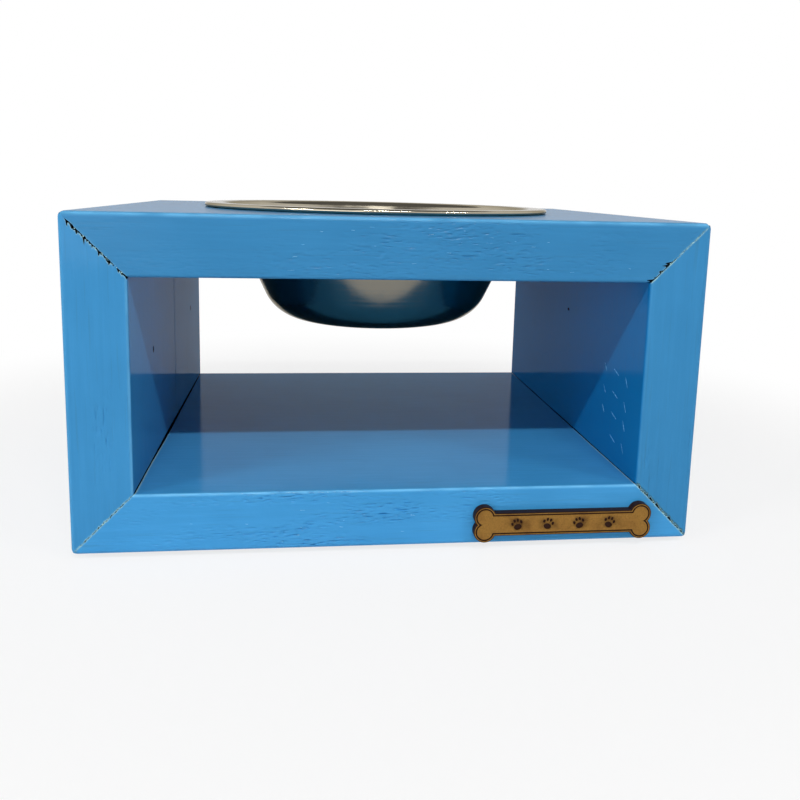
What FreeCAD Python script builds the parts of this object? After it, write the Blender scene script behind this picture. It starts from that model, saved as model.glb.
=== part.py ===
"""Pet bowl stand: a painted four-board box frame that carries one steel bowl.

Millimetres. The origin is on the surface that the stand rests on, under the middle of the frame.
+X points to the right of the front, +Y to the back and +Z up.
"""
import FreeCAD, Part
import math
import os

import Sketcher

SIZES = {
    # Frame: four boards with mitred ends, joined to a box that is open at the front and back
    "frame_width": 208.0,
    "frame_depth": 170.0,
    "frame_height": 110.0,
    "board_thickness": 20.0,
    "corner_radius": 2.0,
    "outer_edge_radius": 1.6,
    "inner_edge_radius": 1.0,
    # Bowl: pressed from sheet, hanging by its rolled rim
    "bowl_rim_radius": 70.0,
    "bowl_depth": 45.2,
    "bowl_base_radius": 29.7,
    "bowl_corner_radius": 18.0,
    "bowl_flank_angle": 65.4,
    "bowl_sheet": 0.7,
    "bowl_bend_radius": 2.5,
    "rim_bead_radius": 0.9,
    "rim_seat_gap": 0.1,
    "bowl_hole_radius": 63.5,
    # Plaque: bone-shaped plate glued to the front edge of the bottom board
    "plaque_length": 62.0,
    "plaque_height": 12.6,
    "plaque_thickness": 2.8,
    "plaque_lobe_radius": 3.75,
    "plaque_shaft_height": 8.0,
    "plaque_offset": 58.0,
    "plaque_rise": 7.9,
    # Nails: headed wire nails, set a little under the outer faces of the side boards
    "nail_length": 30.0,
    "nail_radius": 0.75,
    "nail_head_radius": 1.25,
    "nail_head_thickness": 1.1,
    "nail_point_length": 2.4,
    "nail_spacing": 55.0,
    "nail_set": 0.6,
    "nail_clearance": 0.05,
    # Feet: stick-on pads under the bottom board
    "foot_radius": 7.0,
    "foot_height": 2.0,
    "foot_edge_radius": 0.6,
    "foot_inset": 17.0,
}

START, END, CENTRE = 1, 2, 3
X_AXIS, Y_AXIS = -1, -2
TOLERANCE = 1e-4
UP = FreeCAD.Vector(0, 0, 1)
ACROSS = FreeCAD.Vector(0, 1, 0)
NAIL_ROWS = (-1, 0, 1)
QUARTER_TURN, HALF_TURN, FULL_TURN = 90, 180, 360
MITRE = QUARTER_TURN / 2

document = FreeCAD.newDocument("pet_bowl_stand")
sheet = document.addObject("Spreadsheet::Sheet", "Sizes")
for row, (alias, size) in enumerate(SIZES.items(), start=1):
    sheet.set(f"A{row}", alias)
    sheet.set(f"B{row}", str(size))
    sheet.setAlias(f"B{row}", alias)
document.recompute()
pieces = []


def value(alias):
    """The number that a cell of the sheet holds."""
    return float(sheet.get(alias))


def flat(x, y):
    """A point in a sketch's own plane."""
    return FreeCAD.Vector(x, y, 0)


def new_body(label, turn=FreeCAD.Rotation(), x="0", y="0", z="0"):
    """An empty body that ends up as one file, turned and placed by formulas of the sheet."""
    body = document.addObject("PartDesign::Body", label)
    body.Label = label
    body.Placement = FreeCAD.Placement(FreeCAD.Vector(), turn)
    for axis, formula in (("x", x), ("y", y), ("z", z)):
        body.setExpression(f"Placement.Base.{axis}", formula)
    pieces.append(body)
    return body


def origin_feature(body, role):
    """One of the body's own origin planes or axes."""
    return next(item for item in body.Origin.OriginFeatures if item.Role == role)


def new_sketch(body, name, role, offset="0"):
    """A sketch on one of the body's origin planes, moved along the plane's normal."""
    sketch = body.newObject("Sketcher::SketchObject", name)
    sketch.AttachmentSupport = [(origin_feature(body, role), "")]
    sketch.MapMode = "FlatFace"
    sketch.setExpression("AttachmentOffset.Base.z", offset)
    return sketch


def line(sketch, start, end):
    """A straight edge; gives its index."""
    return sketch.addGeometry(Part.LineSegment(start, end), False)


def arc(sketch, centre, radius, first, last):
    """An edge that runs counter-clockwise on a circle between two angles in degrees; gives its index."""
    circle = Part.Circle(centre, UP, radius)
    return sketch.addGeometry(Part.ArcOfCircle(circle, math.radians(first), math.radians(last)), False)


def relate(sketch, kind, *members):
    """A relation without a size, such as a tangent or coincident pair."""
    return sketch.addConstraint(Sketcher.Constraint(kind, *members))


def measure(sketch, kind, name, formula, *members):
    """A size of the sketch, bound to a formula of the sheet."""
    guess = sketch.evalExpression(formula)
    index = sketch.addConstraint(Sketcher.Constraint(kind, *members, guess))
    sketch.renameConstraint(index, name)
    sketch.setExpression(f"Constraints.{name}", formula)


def add_circle(sketch, name, radius, x, y):
    """A circle whose radius and centre are formulas of the sheet."""
    centre = flat(sketch.evalExpression(x), sketch.evalExpression(y))
    index = sketch.addGeometry(Part.Circle(centre, UP, sketch.evalExpression(radius)), False)
    measure(sketch, "Radius", f"{name}_radius", radius, index)
    for kind, part, formula in (("DistanceX", "x", x), ("DistanceY", "y", y)):
        if formula == "0":
            axis = Y_AXIS if part == "x" else X_AXIS
            relate(sketch, "PointOnObject", index, CENTRE, axis)
        else:
            measure(sketch, kind, f"{name}_{part}", formula, X_AXIS, START, index, CENTRE)


def add_feature(body, kind, name, base=None):
    """A feature of the body, made from a sketch when one is given."""
    feature = body.newObject(f"PartDesign::{kind}", name)
    if base is not None:
        feature.Profile = base
    return feature


def recompute_smaller(body, volume_before):
    """Recomputes after a cut and makes sure that it took something away."""
    document.recompute()
    if not body.Shape.Volume < volume_before - TOLERANCE:
        raise RuntimeError(f"{body.Label}: a cut removed nothing")


def round_edges(body, name, radius, wanted):
    """Rounds every edge of the body's tip whose middle point passes the test."""
    tip = body.Tip
    names = []
    for index, edge in enumerate(tip.Shape.Edges, start=1):
        middle = edge.valueAt((edge.FirstParameter + edge.LastParameter) / 2)
        if wanted(edge, middle):
            names.append(f"Edge{index}")
    fillet = add_feature(body, "Fillet", name)
    fillet.Base = (tip, names)
    fillet.setExpression("Radius", radius)
    document.recompute()


def draw_board_section(sketch, length):
    """Long section of a mitred board: outer face on the X axis, slanted ends, rounded outer corners."""
    half = value(length) / 2
    thickness = value("board_thickness")
    radius = value("corner_radius")
    middle = flat(half - radius, -radius)
    reach = radius * math.cos(math.radians(MITRE))
    right_tip = middle + flat(reach, reach)
    left_tip = flat(-right_tip.x, right_tip.y)
    right_heel = flat(half - thickness, -thickness)
    left_heel = flat(thickness - half, -thickness)
    outer = line(sketch, flat(radius - half, 0), flat(half - radius, 0))
    right_round = arc(sketch, middle, radius, MITRE, QUARTER_TURN)
    right_mitre = line(sketch, right_tip, right_heel)
    inner = line(sketch, right_heel, left_heel)
    left_mitre = line(sketch, left_heel, left_tip)
    left_round = arc(sketch, flat(-middle.x, middle.y), radius, QUARTER_TURN, HALF_TURN - MITRE)
    relate(sketch, "Tangent", outer, END, right_round, END)
    relate(sketch, "Tangent", outer, START, left_round, START)
    relate(sketch, "Coincident", right_round, START, right_mitre, START)
    relate(sketch, "Coincident", right_mitre, END, inner, START)
    relate(sketch, "Coincident", inner, END, left_mitre, START)
    relate(sketch, "Coincident", left_mitre, END, left_round, END)
    relate(sketch, "Symmetric", outer, START, outer, END, Y_AXIS)
    relate(sketch, "Symmetric", inner, START, inner, END, Y_AXIS)
    relate(sketch, "PointOnObject", right_round, CENTRE, right_mitre)
    relate(sketch, "PointOnObject", left_round, CENTRE, left_mitre)
    relate(sketch, "Perpendicular", right_mitre, left_mitre)
    relate(sketch, "Equal", right_round, left_round)
    relate(sketch, "PointOnObject", outer, START, X_AXIS)
    measure(sketch, "Radius", "corner", "Sizes.corner_radius", right_round)
    measure(sketch, "DistanceY", "thickness", "Sizes.board_thickness", inner, END, outer, START)
    measure(sketch, "DistanceX", "heel_to_heel", f"Sizes.{length} - 2 * Sizes.board_thickness",
            inner, END, inner, START)


def make_board(body, length):
    """A mitred board with its outer face up at z = 0 and its front and back edges sanded round."""
    section = new_sketch(body, "section", "XZ_Plane")
    draw_board_section(section, length)
    plank = add_feature(body, "Pad", "plank", section)
    plank.SideType = "Symmetric"
    plank.setExpression("Length", "Sizes.frame_depth")
    document.recompute()
    half_depth = value("frame_depth") / 2
    thickness = value("board_thickness")
    radius = value("corner_radius")

    def at_rim(middle):
        return abs(abs(middle.y) - half_depth) < TOLERANCE

    def on_outside(edge, middle):
        return at_rim(middle) and middle.z > -radius

    def on_inside(edge, middle):
        return at_rim(middle) and abs(middle.z + thickness) < TOLERANCE

    round_edges(body, "outer_rounding", "Sizes.outer_edge_radius", on_outside)
    round_edges(body, "inner_rounding", "Sizes.inner_edge_radius", on_inside)


def cut_bowl_hole(body):
    """The round hole that the bowl hangs in, with both of its rims eased."""
    before = body.Shape.Volume
    ring = new_sketch(body, "hole_ring", "XY_Plane")
    add_circle(ring, "hole", "Sizes.bowl_hole_radius", "0", "0")
    hole = add_feature(body, "Pocket", "bowl_hole", ring)
    hole.Type = "ThroughAll"
    recompute_smaller(body, before)

    def on_rim(edge, middle):
        round_edge = isinstance(edge.Curve, Part.Circle)
        return round_edge and abs(edge.Curve.Radius - value("bowl_hole_radius")) < TOLERANCE

    round_edges(body, "hole_rounding", "Sizes.inner_edge_radius", on_rim)


def drill_end_holes(body, length):
    """Blind nail holes that enter both mitred ends of a top or bottom board at half its thickness."""
    before = body.Shape.Volume
    depth = f"Sizes.{length} / 2 - Sizes.nail_length - Sizes.nail_set - Sizes.nail_clearance"
    rings = new_sketch(body, "end_hole_rings", "YZ_Plane", depth)
    for row in NAIL_ROWS:
        place = f"{row} * Sizes.nail_spacing" if row else "0"
        radius = "Sizes.nail_radius + Sizes.nail_clearance"
        add_circle(rings, f"nail_{row + 1}", radius, place, "-Sizes.board_thickness / 2")
    holes = add_feature(body, "Pocket", "end_holes", rings)
    holes.Type = "ThroughAll"
    holes.Reversed = True
    recompute_smaller(body, before)
    both_ends = add_feature(body, "Mirrored", "both_end_holes")
    both_ends.Originals = [holes]
    both_ends.MirrorPlane = (origin_feature(body, "YZ_Plane"), [""])
    body.Tip = both_ends
    recompute_smaller(body, before)


def drill_face_holes(body, length):
    """Nail holes through a side board near both ends, widened at the outer face for the heads."""
    shank = "Sizes.nail_radius + Sizes.nail_clearance"
    head = "Sizes.nail_head_radius + Sizes.nail_clearance"
    sunk = "Sizes.nail_set + Sizes.nail_head_thickness + Sizes.nail_clearance"
    end = f"(Sizes.{length} - Sizes.board_thickness) / 2"
    for name, radius, depth in (("shank", shank, None), ("head", head, sunk)):
        before = body.Shape.Volume
        rings = new_sketch(body, f"{name}_rings", "XY_Plane")
        for row in NAIL_ROWS:
            place = f"{row} * Sizes.nail_spacing" if row else "0"
            add_circle(rings, f"right_{row + 1}", radius, end, place)
            add_circle(rings, f"left_{row + 1}", radius, f"-{end}", place)
        holes = add_feature(body, "Pocket", f"{name}_holes", rings)
        if depth is None:
            holes.Type = "ThroughAll"
        else:
            holes.setExpression("Length", depth)
        recompute_smaller(body, before)


def make_frame():
    """The four boards of the box, each turned so that its outer face looks outwards."""
    level = "Sizes.foot_height + Sizes.frame_height"
    middle = "Sizes.foot_height + Sizes.frame_height / 2"
    top = new_body("top_board", z=level)
    make_board(top, "frame_width")
    cut_bowl_hole(top)
    drill_end_holes(top, "frame_width")
    bottom = new_body("bottom_board", FreeCAD.Rotation(ACROSS, HALF_TURN), z="Sizes.foot_height")
    make_board(bottom, "frame_width")
    drill_end_holes(bottom, "frame_width")
    facing_left = FreeCAD.Rotation(ACROSS, -QUARTER_TURN)
    facing_right = FreeCAD.Rotation(ACROSS, QUARTER_TURN)
    left = new_body("left_board", facing_left, x="-Sizes.frame_width / 2", z=middle)
    right = new_body("right_board", facing_right, x="Sizes.frame_width / 2", z=middle)
    for side in (left, right):
        make_board(side, "frame_height")
        drill_face_holes(side, "frame_height")


def draw_bowl_section(sketch):
    """Half section of the pressed bowl: flat base, round corner, leaning flank, bend, flange, rolled rim."""
    depth = value("bowl_depth")
    base_radius = value("bowl_base_radius")
    corner = value("bowl_corner_radius")
    bend = value("bowl_bend_radius")
    sheet_metal = value("bowl_sheet")
    bead = value("rim_bead_radius")
    lean = QUARTER_TURN - value("bowl_flank_angle")
    rise = math.radians(lean)
    out = flat(math.cos(rise), -math.sin(rise))
    upward = flat(math.sin(rise), math.cos(rise))
    bead_centre = flat(value("bowl_rim_radius") - bead, value("rim_seat_gap") + bead)
    flange_top = bead_centre.y + bead
    flange_under = flange_top - sheet_metal
    corner_centre = flat(base_radius, corner - depth)
    bend_level = flange_under - bend
    # The flank runs from the corner until it meets the bend, which is tangent to the flange
    flank_start = corner_centre + out * corner
    run = (bend_level + bend * math.sin(rise) - flank_start.y) / upward.y
    flank_end = flank_start + upward * run
    bend_centre = flank_end + out * bend
    # The rolled rim starts where the underside of the flange runs into it
    bead_rise = math.asin((flange_under - bead_centre.y) / bead)
    bead_angle = HALF_TURN - math.degrees(bead_rise)
    bead_start = flat(bead_centre.x - bead * math.cos(bead_rise), flange_under)

    base = line(sketch, flat(0, -depth), flat(base_radius, -depth))
    corner_out = arc(sketch, corner_centre, corner, -QUARTER_TURN, -lean)
    flank_out = line(sketch, flank_start, flank_end)
    bend_out = arc(sketch, bend_centre, bend, QUARTER_TURN, HALF_TURN - lean)
    flange_low = line(sketch, bend_centre + flat(0, bend), bead_start)
    bead_arc = arc(sketch, bead_centre, bead, bead_angle, FULL_TURN + QUARTER_TURN)
    flange_high = line(sketch, flat(bead_centre.x, flange_top), flat(bend_centre.x, flange_top))
    bend_in = arc(sketch, bend_centre, bend + sheet_metal, QUARTER_TURN, HALF_TURN - lean)
    flank_in = line(sketch, flank_end - out * sheet_metal, flank_start - out * sheet_metal)
    corner_in = arc(sketch, corner_centre, corner - sheet_metal, -QUARTER_TURN, -lean)
    floor = line(sketch, flat(base_radius, sheet_metal - depth), flat(0, sheet_metal - depth))
    middle = line(sketch, flat(0, sheet_metal - depth), flat(0, -depth))

    relate(sketch, "Tangent", base, END, corner_out, START)
    relate(sketch, "Tangent", corner_out, END, flank_out, START)
    relate(sketch, "Tangent", flank_out, END, bend_out, END)
    relate(sketch, "Tangent", bend_out, START, flange_low, START)
    relate(sketch, "Coincident", flange_low, END, bead_arc, START)
    relate(sketch, "Tangent", bead_arc, END, flange_high, START)
    relate(sketch, "Tangent", flange_high, END, bend_in, START)
    relate(sketch, "Tangent", bend_in, END, flank_in, START)
    relate(sketch, "Tangent", flank_in, END, corner_in, END)
    relate(sketch, "Tangent", corner_in, START, floor, START)
    relate(sketch, "Coincident", floor, END, middle, START)
    relate(sketch, "Coincident", middle, END, base, START)
    relate(sketch, "Coincident", bend_in, CENTRE, bend_out, CENTRE)
    relate(sketch, "Coincident", corner_in, CENTRE, corner_out, CENTRE)
    relate(sketch, "PointOnObject", middle, START, Y_AXIS)
    relate(sketch, "PointOnObject", middle, END, Y_AXIS)
    for level in (base, flange_low, flange_high, floor):
        relate(sketch, "Horizontal", level)
    measure(sketch, "DistanceX", "base_radius", "Sizes.bowl_base_radius", base, START, base, END)
    measure(sketch, "DistanceY", "depth", "Sizes.bowl_depth", base, START, X_AXIS, START)
    measure(sketch, "Radius", "corner_out", "Sizes.bowl_corner_radius", corner_out)
    measure(sketch, "Radius", "corner_in", "Sizes.bowl_corner_radius - Sizes.bowl_sheet", corner_in)
    measure(sketch, "Radius", "bend_out", "Sizes.bowl_bend_radius", bend_out)
    measure(sketch, "Radius", "bend_in", "Sizes.bowl_bend_radius + Sizes.bowl_sheet", bend_in)
    measure(sketch, "Angle", "flank", "Sizes.bowl_flank_angle * 1 deg", flank_out)
    measure(sketch, "Radius", "bead", "Sizes.rim_bead_radius", bead_arc)
    measure(sketch, "DistanceX", "rim", "Sizes.bowl_rim_radius - Sizes.rim_bead_radius",
            X_AXIS, START, bead_arc, CENTRE)
    measure(sketch, "DistanceY", "seat", "Sizes.rim_seat_gap + Sizes.rim_bead_radius",
            X_AXIS, START, bead_arc, CENTRE)


def make_bowl():
    """The bowl, spun about the hole's axis; its own zero is the top board's upper face."""
    body = new_body("bowl", z="Sizes.foot_height + Sizes.frame_height")
    section = new_sketch(body, "section", "XZ_Plane")
    draw_bowl_section(section)
    spun = add_feature(body, "Revolution", "pressing", section)
    spun.ReferenceAxis = (section, ["V_Axis"])
    spun.Angle = FULL_TURN
    document.recompute()


def draw_bone(sketch):
    """A bone outline: four equal lobes in mirror pairs, joined by a straight shaft."""
    radius = value("plaque_lobe_radius")
    lobe_x = value("plaque_length") / 2 - radius
    lobe_y = value("plaque_height") / 2 - radius
    shaft = value("plaque_shaft_height") / 2
    notch = math.degrees(math.asin(lobe_y / radius))
    neck = math.degrees(math.asin((shaft - lobe_y) / radius))
    neck_x = lobe_x - radius * math.cos(math.radians(neck))
    upper_right = arc(sketch, flat(lobe_x, lobe_y), radius, -notch, HALF_TURN - neck)
    top = line(sketch, flat(neck_x, shaft), flat(-neck_x, shaft))
    upper_left = arc(sketch, flat(-lobe_x, lobe_y), radius, neck, HALF_TURN + notch)
    lower_left = arc(sketch, flat(-lobe_x, -lobe_y), radius, HALF_TURN - notch, FULL_TURN - neck)
    bottom = line(sketch, flat(-neck_x, -shaft), flat(neck_x, -shaft))
    lower_right = arc(sketch, flat(lobe_x, -lobe_y), radius, HALF_TURN + neck, FULL_TURN + notch)
    outline = (upper_right, top, upper_left, lower_left, bottom, lower_right)
    for edge, following in zip(outline, outline[1:] + outline[:1]):
        relate(sketch, "Coincident", edge, END, following, START)
    for lobe in (upper_left, lower_left, lower_right):
        relate(sketch, "Equal", upper_right, lobe)
    relate(sketch, "Symmetric", upper_right, CENTRE, upper_left, CENTRE, Y_AXIS)
    relate(sketch, "Symmetric", upper_right, CENTRE, lower_right, CENTRE, X_AXIS)
    relate(sketch, "Symmetric", upper_left, CENTRE, lower_left, CENTRE, X_AXIS)
    relate(sketch, "Horizontal", top)
    relate(sketch, "Horizontal", bottom)
    half_shaft = "Sizes.plaque_shaft_height / 2"
    measure(sketch, "Radius", "lobe", "Sizes.plaque_lobe_radius", upper_right)
    measure(sketch, "DistanceY", "shaft_top", half_shaft, X_AXIS, START, top, START)
    measure(sketch, "DistanceY", "shaft_bottom", half_shaft, bottom, START, X_AXIS, START)
    measure(sketch, "DistanceX", "lobe_x", "Sizes.plaque_length / 2 - Sizes.plaque_lobe_radius",
            X_AXIS, START, upper_right, CENTRE)
    measure(sketch, "DistanceY", "lobe_y", "Sizes.plaque_height / 2 - Sizes.plaque_lobe_radius",
            X_AXIS, START, upper_right, CENTRE)


def make_plaque():
    """The bone-shaped plate on the front edge of the bottom board."""
    body = new_body("front_plaque", x="Sizes.plaque_offset", y="-Sizes.frame_depth / 2",
                    z="Sizes.foot_height + Sizes.plaque_rise")
    outline = new_sketch(body, "outline", "XZ_Plane")
    draw_bone(outline)
    plate = add_feature(body, "Pad", "plate", outline)
    plate.setExpression("Length", "Sizes.plaque_thickness")
    document.recompute()


def draw_nail_section(sketch):
    """Half section of a nail that points along the sketch's X axis, with its head at the left."""
    length = value("nail_length")
    radius = value("nail_radius")
    head_radius = value("nail_head_radius")
    head = value("nail_head_thickness")
    point = value("nail_point_length")
    corners = [flat(0, 0), flat(0, head_radius), flat(head, head_radius), flat(head, radius),
               flat(length - point, radius), flat(length, 0)]
    edges = [line(sketch, first, second) for first, second in zip(corners, corners[1:] + corners[:1])]
    head_face, head_side, neck, shank, taper, middle = edges
    for edge, following in zip(edges, edges[1:] + edges[:1]):
        relate(sketch, "Coincident", edge, END, following, START)
    for upright in (head_face, neck):
        relate(sketch, "Vertical", upright)
    for level in (head_side, shank, middle):
        relate(sketch, "Horizontal", level)
    relate(sketch, "Coincident", head_face, START, X_AXIS, START)
    measure(sketch, "DistanceY", "head_radius", "Sizes.nail_head_radius", head_face, START, head_face, END)
    measure(sketch, "DistanceX", "head_thickness", "Sizes.nail_head_thickness",
            head_side, START, head_side, END)
    measure(sketch, "DistanceY", "radius", "Sizes.nail_radius", X_AXIS, START, shank, START)
    measure(sketch, "DistanceX", "point", "Sizes.nail_point_length", taper, START, taper, END)
    measure(sketch, "DistanceX", "length", "Sizes.nail_length", middle, END, middle, START)


def make_nails():
    """One row of nails through each corner joint, driven inwards from the side boards."""
    high = "Sizes.foot_height + Sizes.frame_height - Sizes.board_thickness / 2"
    low = "Sizes.foot_height + Sizes.board_thickness / 2"
    head_face = "(Sizes.frame_width / 2 - Sizes.nail_set)"
    inwards = {"left": (FreeCAD.Rotation(), "-1"), "right": (FreeCAD.Rotation(UP, HALF_TURN), "1")}
    for level_name, level in (("top", high), ("bottom", low)):
        for side_name, (turn, sign) in inwards.items():
            body = new_body(f"nails_{level_name}_{side_name}", turn, x=f"{sign} * {head_face}", z=level)
            body.AllowCompound = True
            section = new_sketch(body, "section", "XZ_Plane", "Sizes.nail_spacing")
            draw_nail_section(section)
            nail = add_feature(body, "Revolution", "nail", section)
            nail.ReferenceAxis = (section, ["H_Axis"])
            nail.Angle = FULL_TURN
            document.recompute()
            nail_row = add_feature(body, "LinearPattern", "nail_row")
            nail_row.Originals = [nail]
            nail_row.Direction = (origin_feature(body, "Y_Axis"), [""])
            nail_row.Mode = "Spacing"
            nail_row.setExpression("Offset", "Sizes.nail_spacing")
            nail_row.Occurrences = len(NAIL_ROWS)
            body.Tip = nail_row
            document.recompute()
            if len(body.Shape.Solids) != len(NAIL_ROWS):
                raise RuntimeError(f"{body.Label}: the row has {len(body.Shape.Solids)} nails")


def make_feet():
    """Four round pads under the corners, with the edge that meets the floor eased."""
    def on_floor(edge, middle):
        return abs(middle.z) < TOLERANCE

    inset_x = "(Sizes.frame_width / 2 - Sizes.foot_inset)"
    inset_y = "(Sizes.frame_depth / 2 - Sizes.foot_inset)"
    for depth_name, depth_sign in (("front", "-1"), ("back", "1")):
        for side_name, side_sign in (("left", "-1"), ("right", "1")):
            label = f"foot_{depth_name}_{side_name}"
            body = new_body(label, x=f"{side_sign} * {inset_x}", y=f"{depth_sign} * {inset_y}")
            ring = new_sketch(body, "ring", "XY_Plane")
            add_circle(ring, "pad", "Sizes.foot_radius", "0", "0")
            pad = add_feature(body, "Pad", "pad", ring)
            pad.setExpression("Length", "Sizes.foot_height")
            document.recompute()
            round_edges(body, "floor_edge", "Sizes.foot_edge_radius", on_floor)


def check_document():
    """Stops the build if any object failed or any piece has no valid shape."""
    document.recompute()
    for item in document.Objects:
        if {"Invalid", "Error"} & set(item.State):
            raise RuntimeError(f"{item.Label} failed: {item.State}")
    for body in pieces:
        if body.Shape.isNull() or not body.Shape.isValid():
            raise RuntimeError(f"{body.Label} has no valid shape")


def write_pieces():
    """Writes one file for each piece, named after it."""
    os.makedirs("parts", exist_ok=True)
    for body in pieces:
        body.Shape.exportStep(f"parts/{body.Label}.step")
        box = body.Shape.BoundBox
        print(f"{body.Label}: {len(body.Shape.Solids)} solid, {body.Shape.Volume:.1f} mm3, "
              f"x {box.XMin:.2f} to {box.XMax:.2f}, y {box.YMin:.2f} to {box.YMax:.2f}, "
              f"z {box.ZMin:.2f} to {box.ZMax:.2f}")


make_frame()
make_bowl()
make_plaque()
make_nails()
make_feet()
check_document()
write_pieces()
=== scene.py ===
"""A raised pet feeder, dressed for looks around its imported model.

Four painted boards with mitred corners carry a polished steel bowl.
A laser-cut plate, nails and pads finish it.
"""

import math
from collections import namedtuple

import bmesh
import bpy
import numpy as np
from bpy.props import FloatProperty, FloatVectorProperty, IntProperty, PointerProperty
from mathutils import Matrix, Vector, noise


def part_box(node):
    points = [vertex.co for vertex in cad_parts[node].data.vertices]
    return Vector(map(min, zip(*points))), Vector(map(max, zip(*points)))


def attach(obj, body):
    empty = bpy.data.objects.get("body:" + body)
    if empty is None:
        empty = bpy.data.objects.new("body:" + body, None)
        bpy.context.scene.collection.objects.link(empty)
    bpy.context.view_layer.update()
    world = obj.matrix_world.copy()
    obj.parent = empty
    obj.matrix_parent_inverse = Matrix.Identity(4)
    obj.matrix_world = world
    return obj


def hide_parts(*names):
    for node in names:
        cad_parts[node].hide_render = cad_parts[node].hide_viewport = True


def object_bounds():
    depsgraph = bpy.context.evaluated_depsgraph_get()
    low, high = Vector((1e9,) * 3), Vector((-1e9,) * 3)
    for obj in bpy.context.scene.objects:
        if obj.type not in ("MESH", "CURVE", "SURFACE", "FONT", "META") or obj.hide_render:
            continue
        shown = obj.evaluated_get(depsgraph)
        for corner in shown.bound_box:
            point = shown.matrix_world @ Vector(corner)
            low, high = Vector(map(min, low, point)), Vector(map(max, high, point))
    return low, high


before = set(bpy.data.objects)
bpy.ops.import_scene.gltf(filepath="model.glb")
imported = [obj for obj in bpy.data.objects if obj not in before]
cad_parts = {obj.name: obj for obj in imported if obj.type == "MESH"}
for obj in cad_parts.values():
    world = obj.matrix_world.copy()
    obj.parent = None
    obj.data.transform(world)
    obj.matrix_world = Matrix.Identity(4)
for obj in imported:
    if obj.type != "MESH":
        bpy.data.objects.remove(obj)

bl_info = {
    "name": "Raised pet feeder",
    "version": (1, 0, 0),
    "blender": (4, 5, 0),
    "location": "3D View > Sidebar > Feeder",
    "description": "Builds a raised pet feeder: painted boards, steel bowl, plate, nails, pads and stage",
    "category": "Add Mesh",
}

CAD_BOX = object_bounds()
MM = 0.001


def node_size(node):
    """Width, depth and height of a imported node."""
    low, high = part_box(node)
    return Vector(high) - Vector(low)


FRAME_WIDTH = CAD_BOX[1].x - CAD_BOX[0].x
HALF_DEPTH = node_size("top_board").y / 2
FRAME_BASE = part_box("bottom_board")[0].z
FRAME_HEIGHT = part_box("top_board")[1].z - FRAME_BASE
FRAME_MIDDLE = FRAME_BASE + FRAME_HEIGHT / 2
BOARD_THICKNESS = node_size("bottom_board").z
PLATE_LOW, PLATE_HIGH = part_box("front_plaque")
PLATE_LENGTH, PLATE_THICKNESS, PLATE_HEIGHT = node_size("front_plaque")
BOWL_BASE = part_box("bowl")[0].z
BOWL_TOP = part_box("bowl")[1].z
RIM_RADIUS = node_size("bowl").x / 2
PAD_HEIGHT = node_size("foot_front_left").z


# Settings

def length(name, description, default):
    """A setting in metres."""
    return FloatProperty(name=name, description=description, default=default, precision=5, unit="LENGTH")


def angle(name, description, default):
    """A setting in radians."""
    return FloatProperty(name=name, description=description, default=default, subtype="ANGLE")


def colour(name, description, default):
    """A colour setting in scene-linear values."""
    return FloatVectorProperty(name=name, description=description, default=default, size=3, min=0, max=1,
                               subtype="COLOR")


def watts(name, description, default):
    """A lamp's power."""
    return FloatProperty(name=name, description=description, default=default, min=0, unit="POWER")


class FeederBoards(bpy.types.PropertyGroup):
    """Shape and paint of the four boards."""
    corner_radius: length("Corner radius", "Rounding of the frame's four long outer corners", 2 * MM)
    outer_edge_radius: length("Outer edge radius", "Rounding of the outer front and back edges", 1.6 * MM)
    inner_edge_radius: length("Inner edge radius", "Rounding of the inner front and back edges", 1.0 * MM)
    hole_radius: length("Hole radius", "Radius of the bowl's hole", 63.5 * MM)
    hole_edge_radius: length("Hole edge radius", "Rounding of the hole's two edges", 0.6 * MM)
    dent_depth: length("Dent depth", "Depth of the dents along the grain", 0.32 * MM)
    paint: colour("Paint", "Blue gloss paint", (0.034, 0.206, 0.427))
    # Painted shade: a darker, saturated blue with almost no red, laid on the inner faces of the side
    # boards, which stand in shade
    inner_wall_shade: colour("Deep paint", "Blue gloss paint where it lies thickest", (0.001, 0.160, 0.430))
    thin_paint: colour("Thin paint", "Blue gloss paint where the brush left less", (0.047, 0.253, 0.510))
    # Painted highlight: a paler blue along the arrises where light catches them
    painted_highlight: colour("Arris paint", "Paint worn thin along the arrises", (0.17, 0.53, 0.86))
    # Painted glint: the pale colour of the nibs, which stand for glints on the rails
    nib_glint: colour("Nib paint", "Raised nibs of paint that catch the light", (0.38, 0.68, 0.87))
    filler: colour("Filler", "Pale filler and chipped paint at the mitres", (0.42, 0.68, 0.66))
    scuffed: colour("Scuffed paint", "Paint rubbed dull beside a mitre", (0.045, 0.115, 0.135))
    # Dark wood with painted shade inside an open joint, almost black
    joint_wood_and_shade: colour("Open joint", "Dark wood inside an open joint", (0.010, 0.014, 0.016))
    # Painted shade: near-black colours of the dark lenses that stand for pits in the inner walls
    pit: colour("Pit", "Darkest paint in a pit", (0.003, 0.008, 0.012))
    pit_edge: colour("Pit edge", "Lightest paint in a pit", (0.006, 0.02, 0.03))


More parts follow.
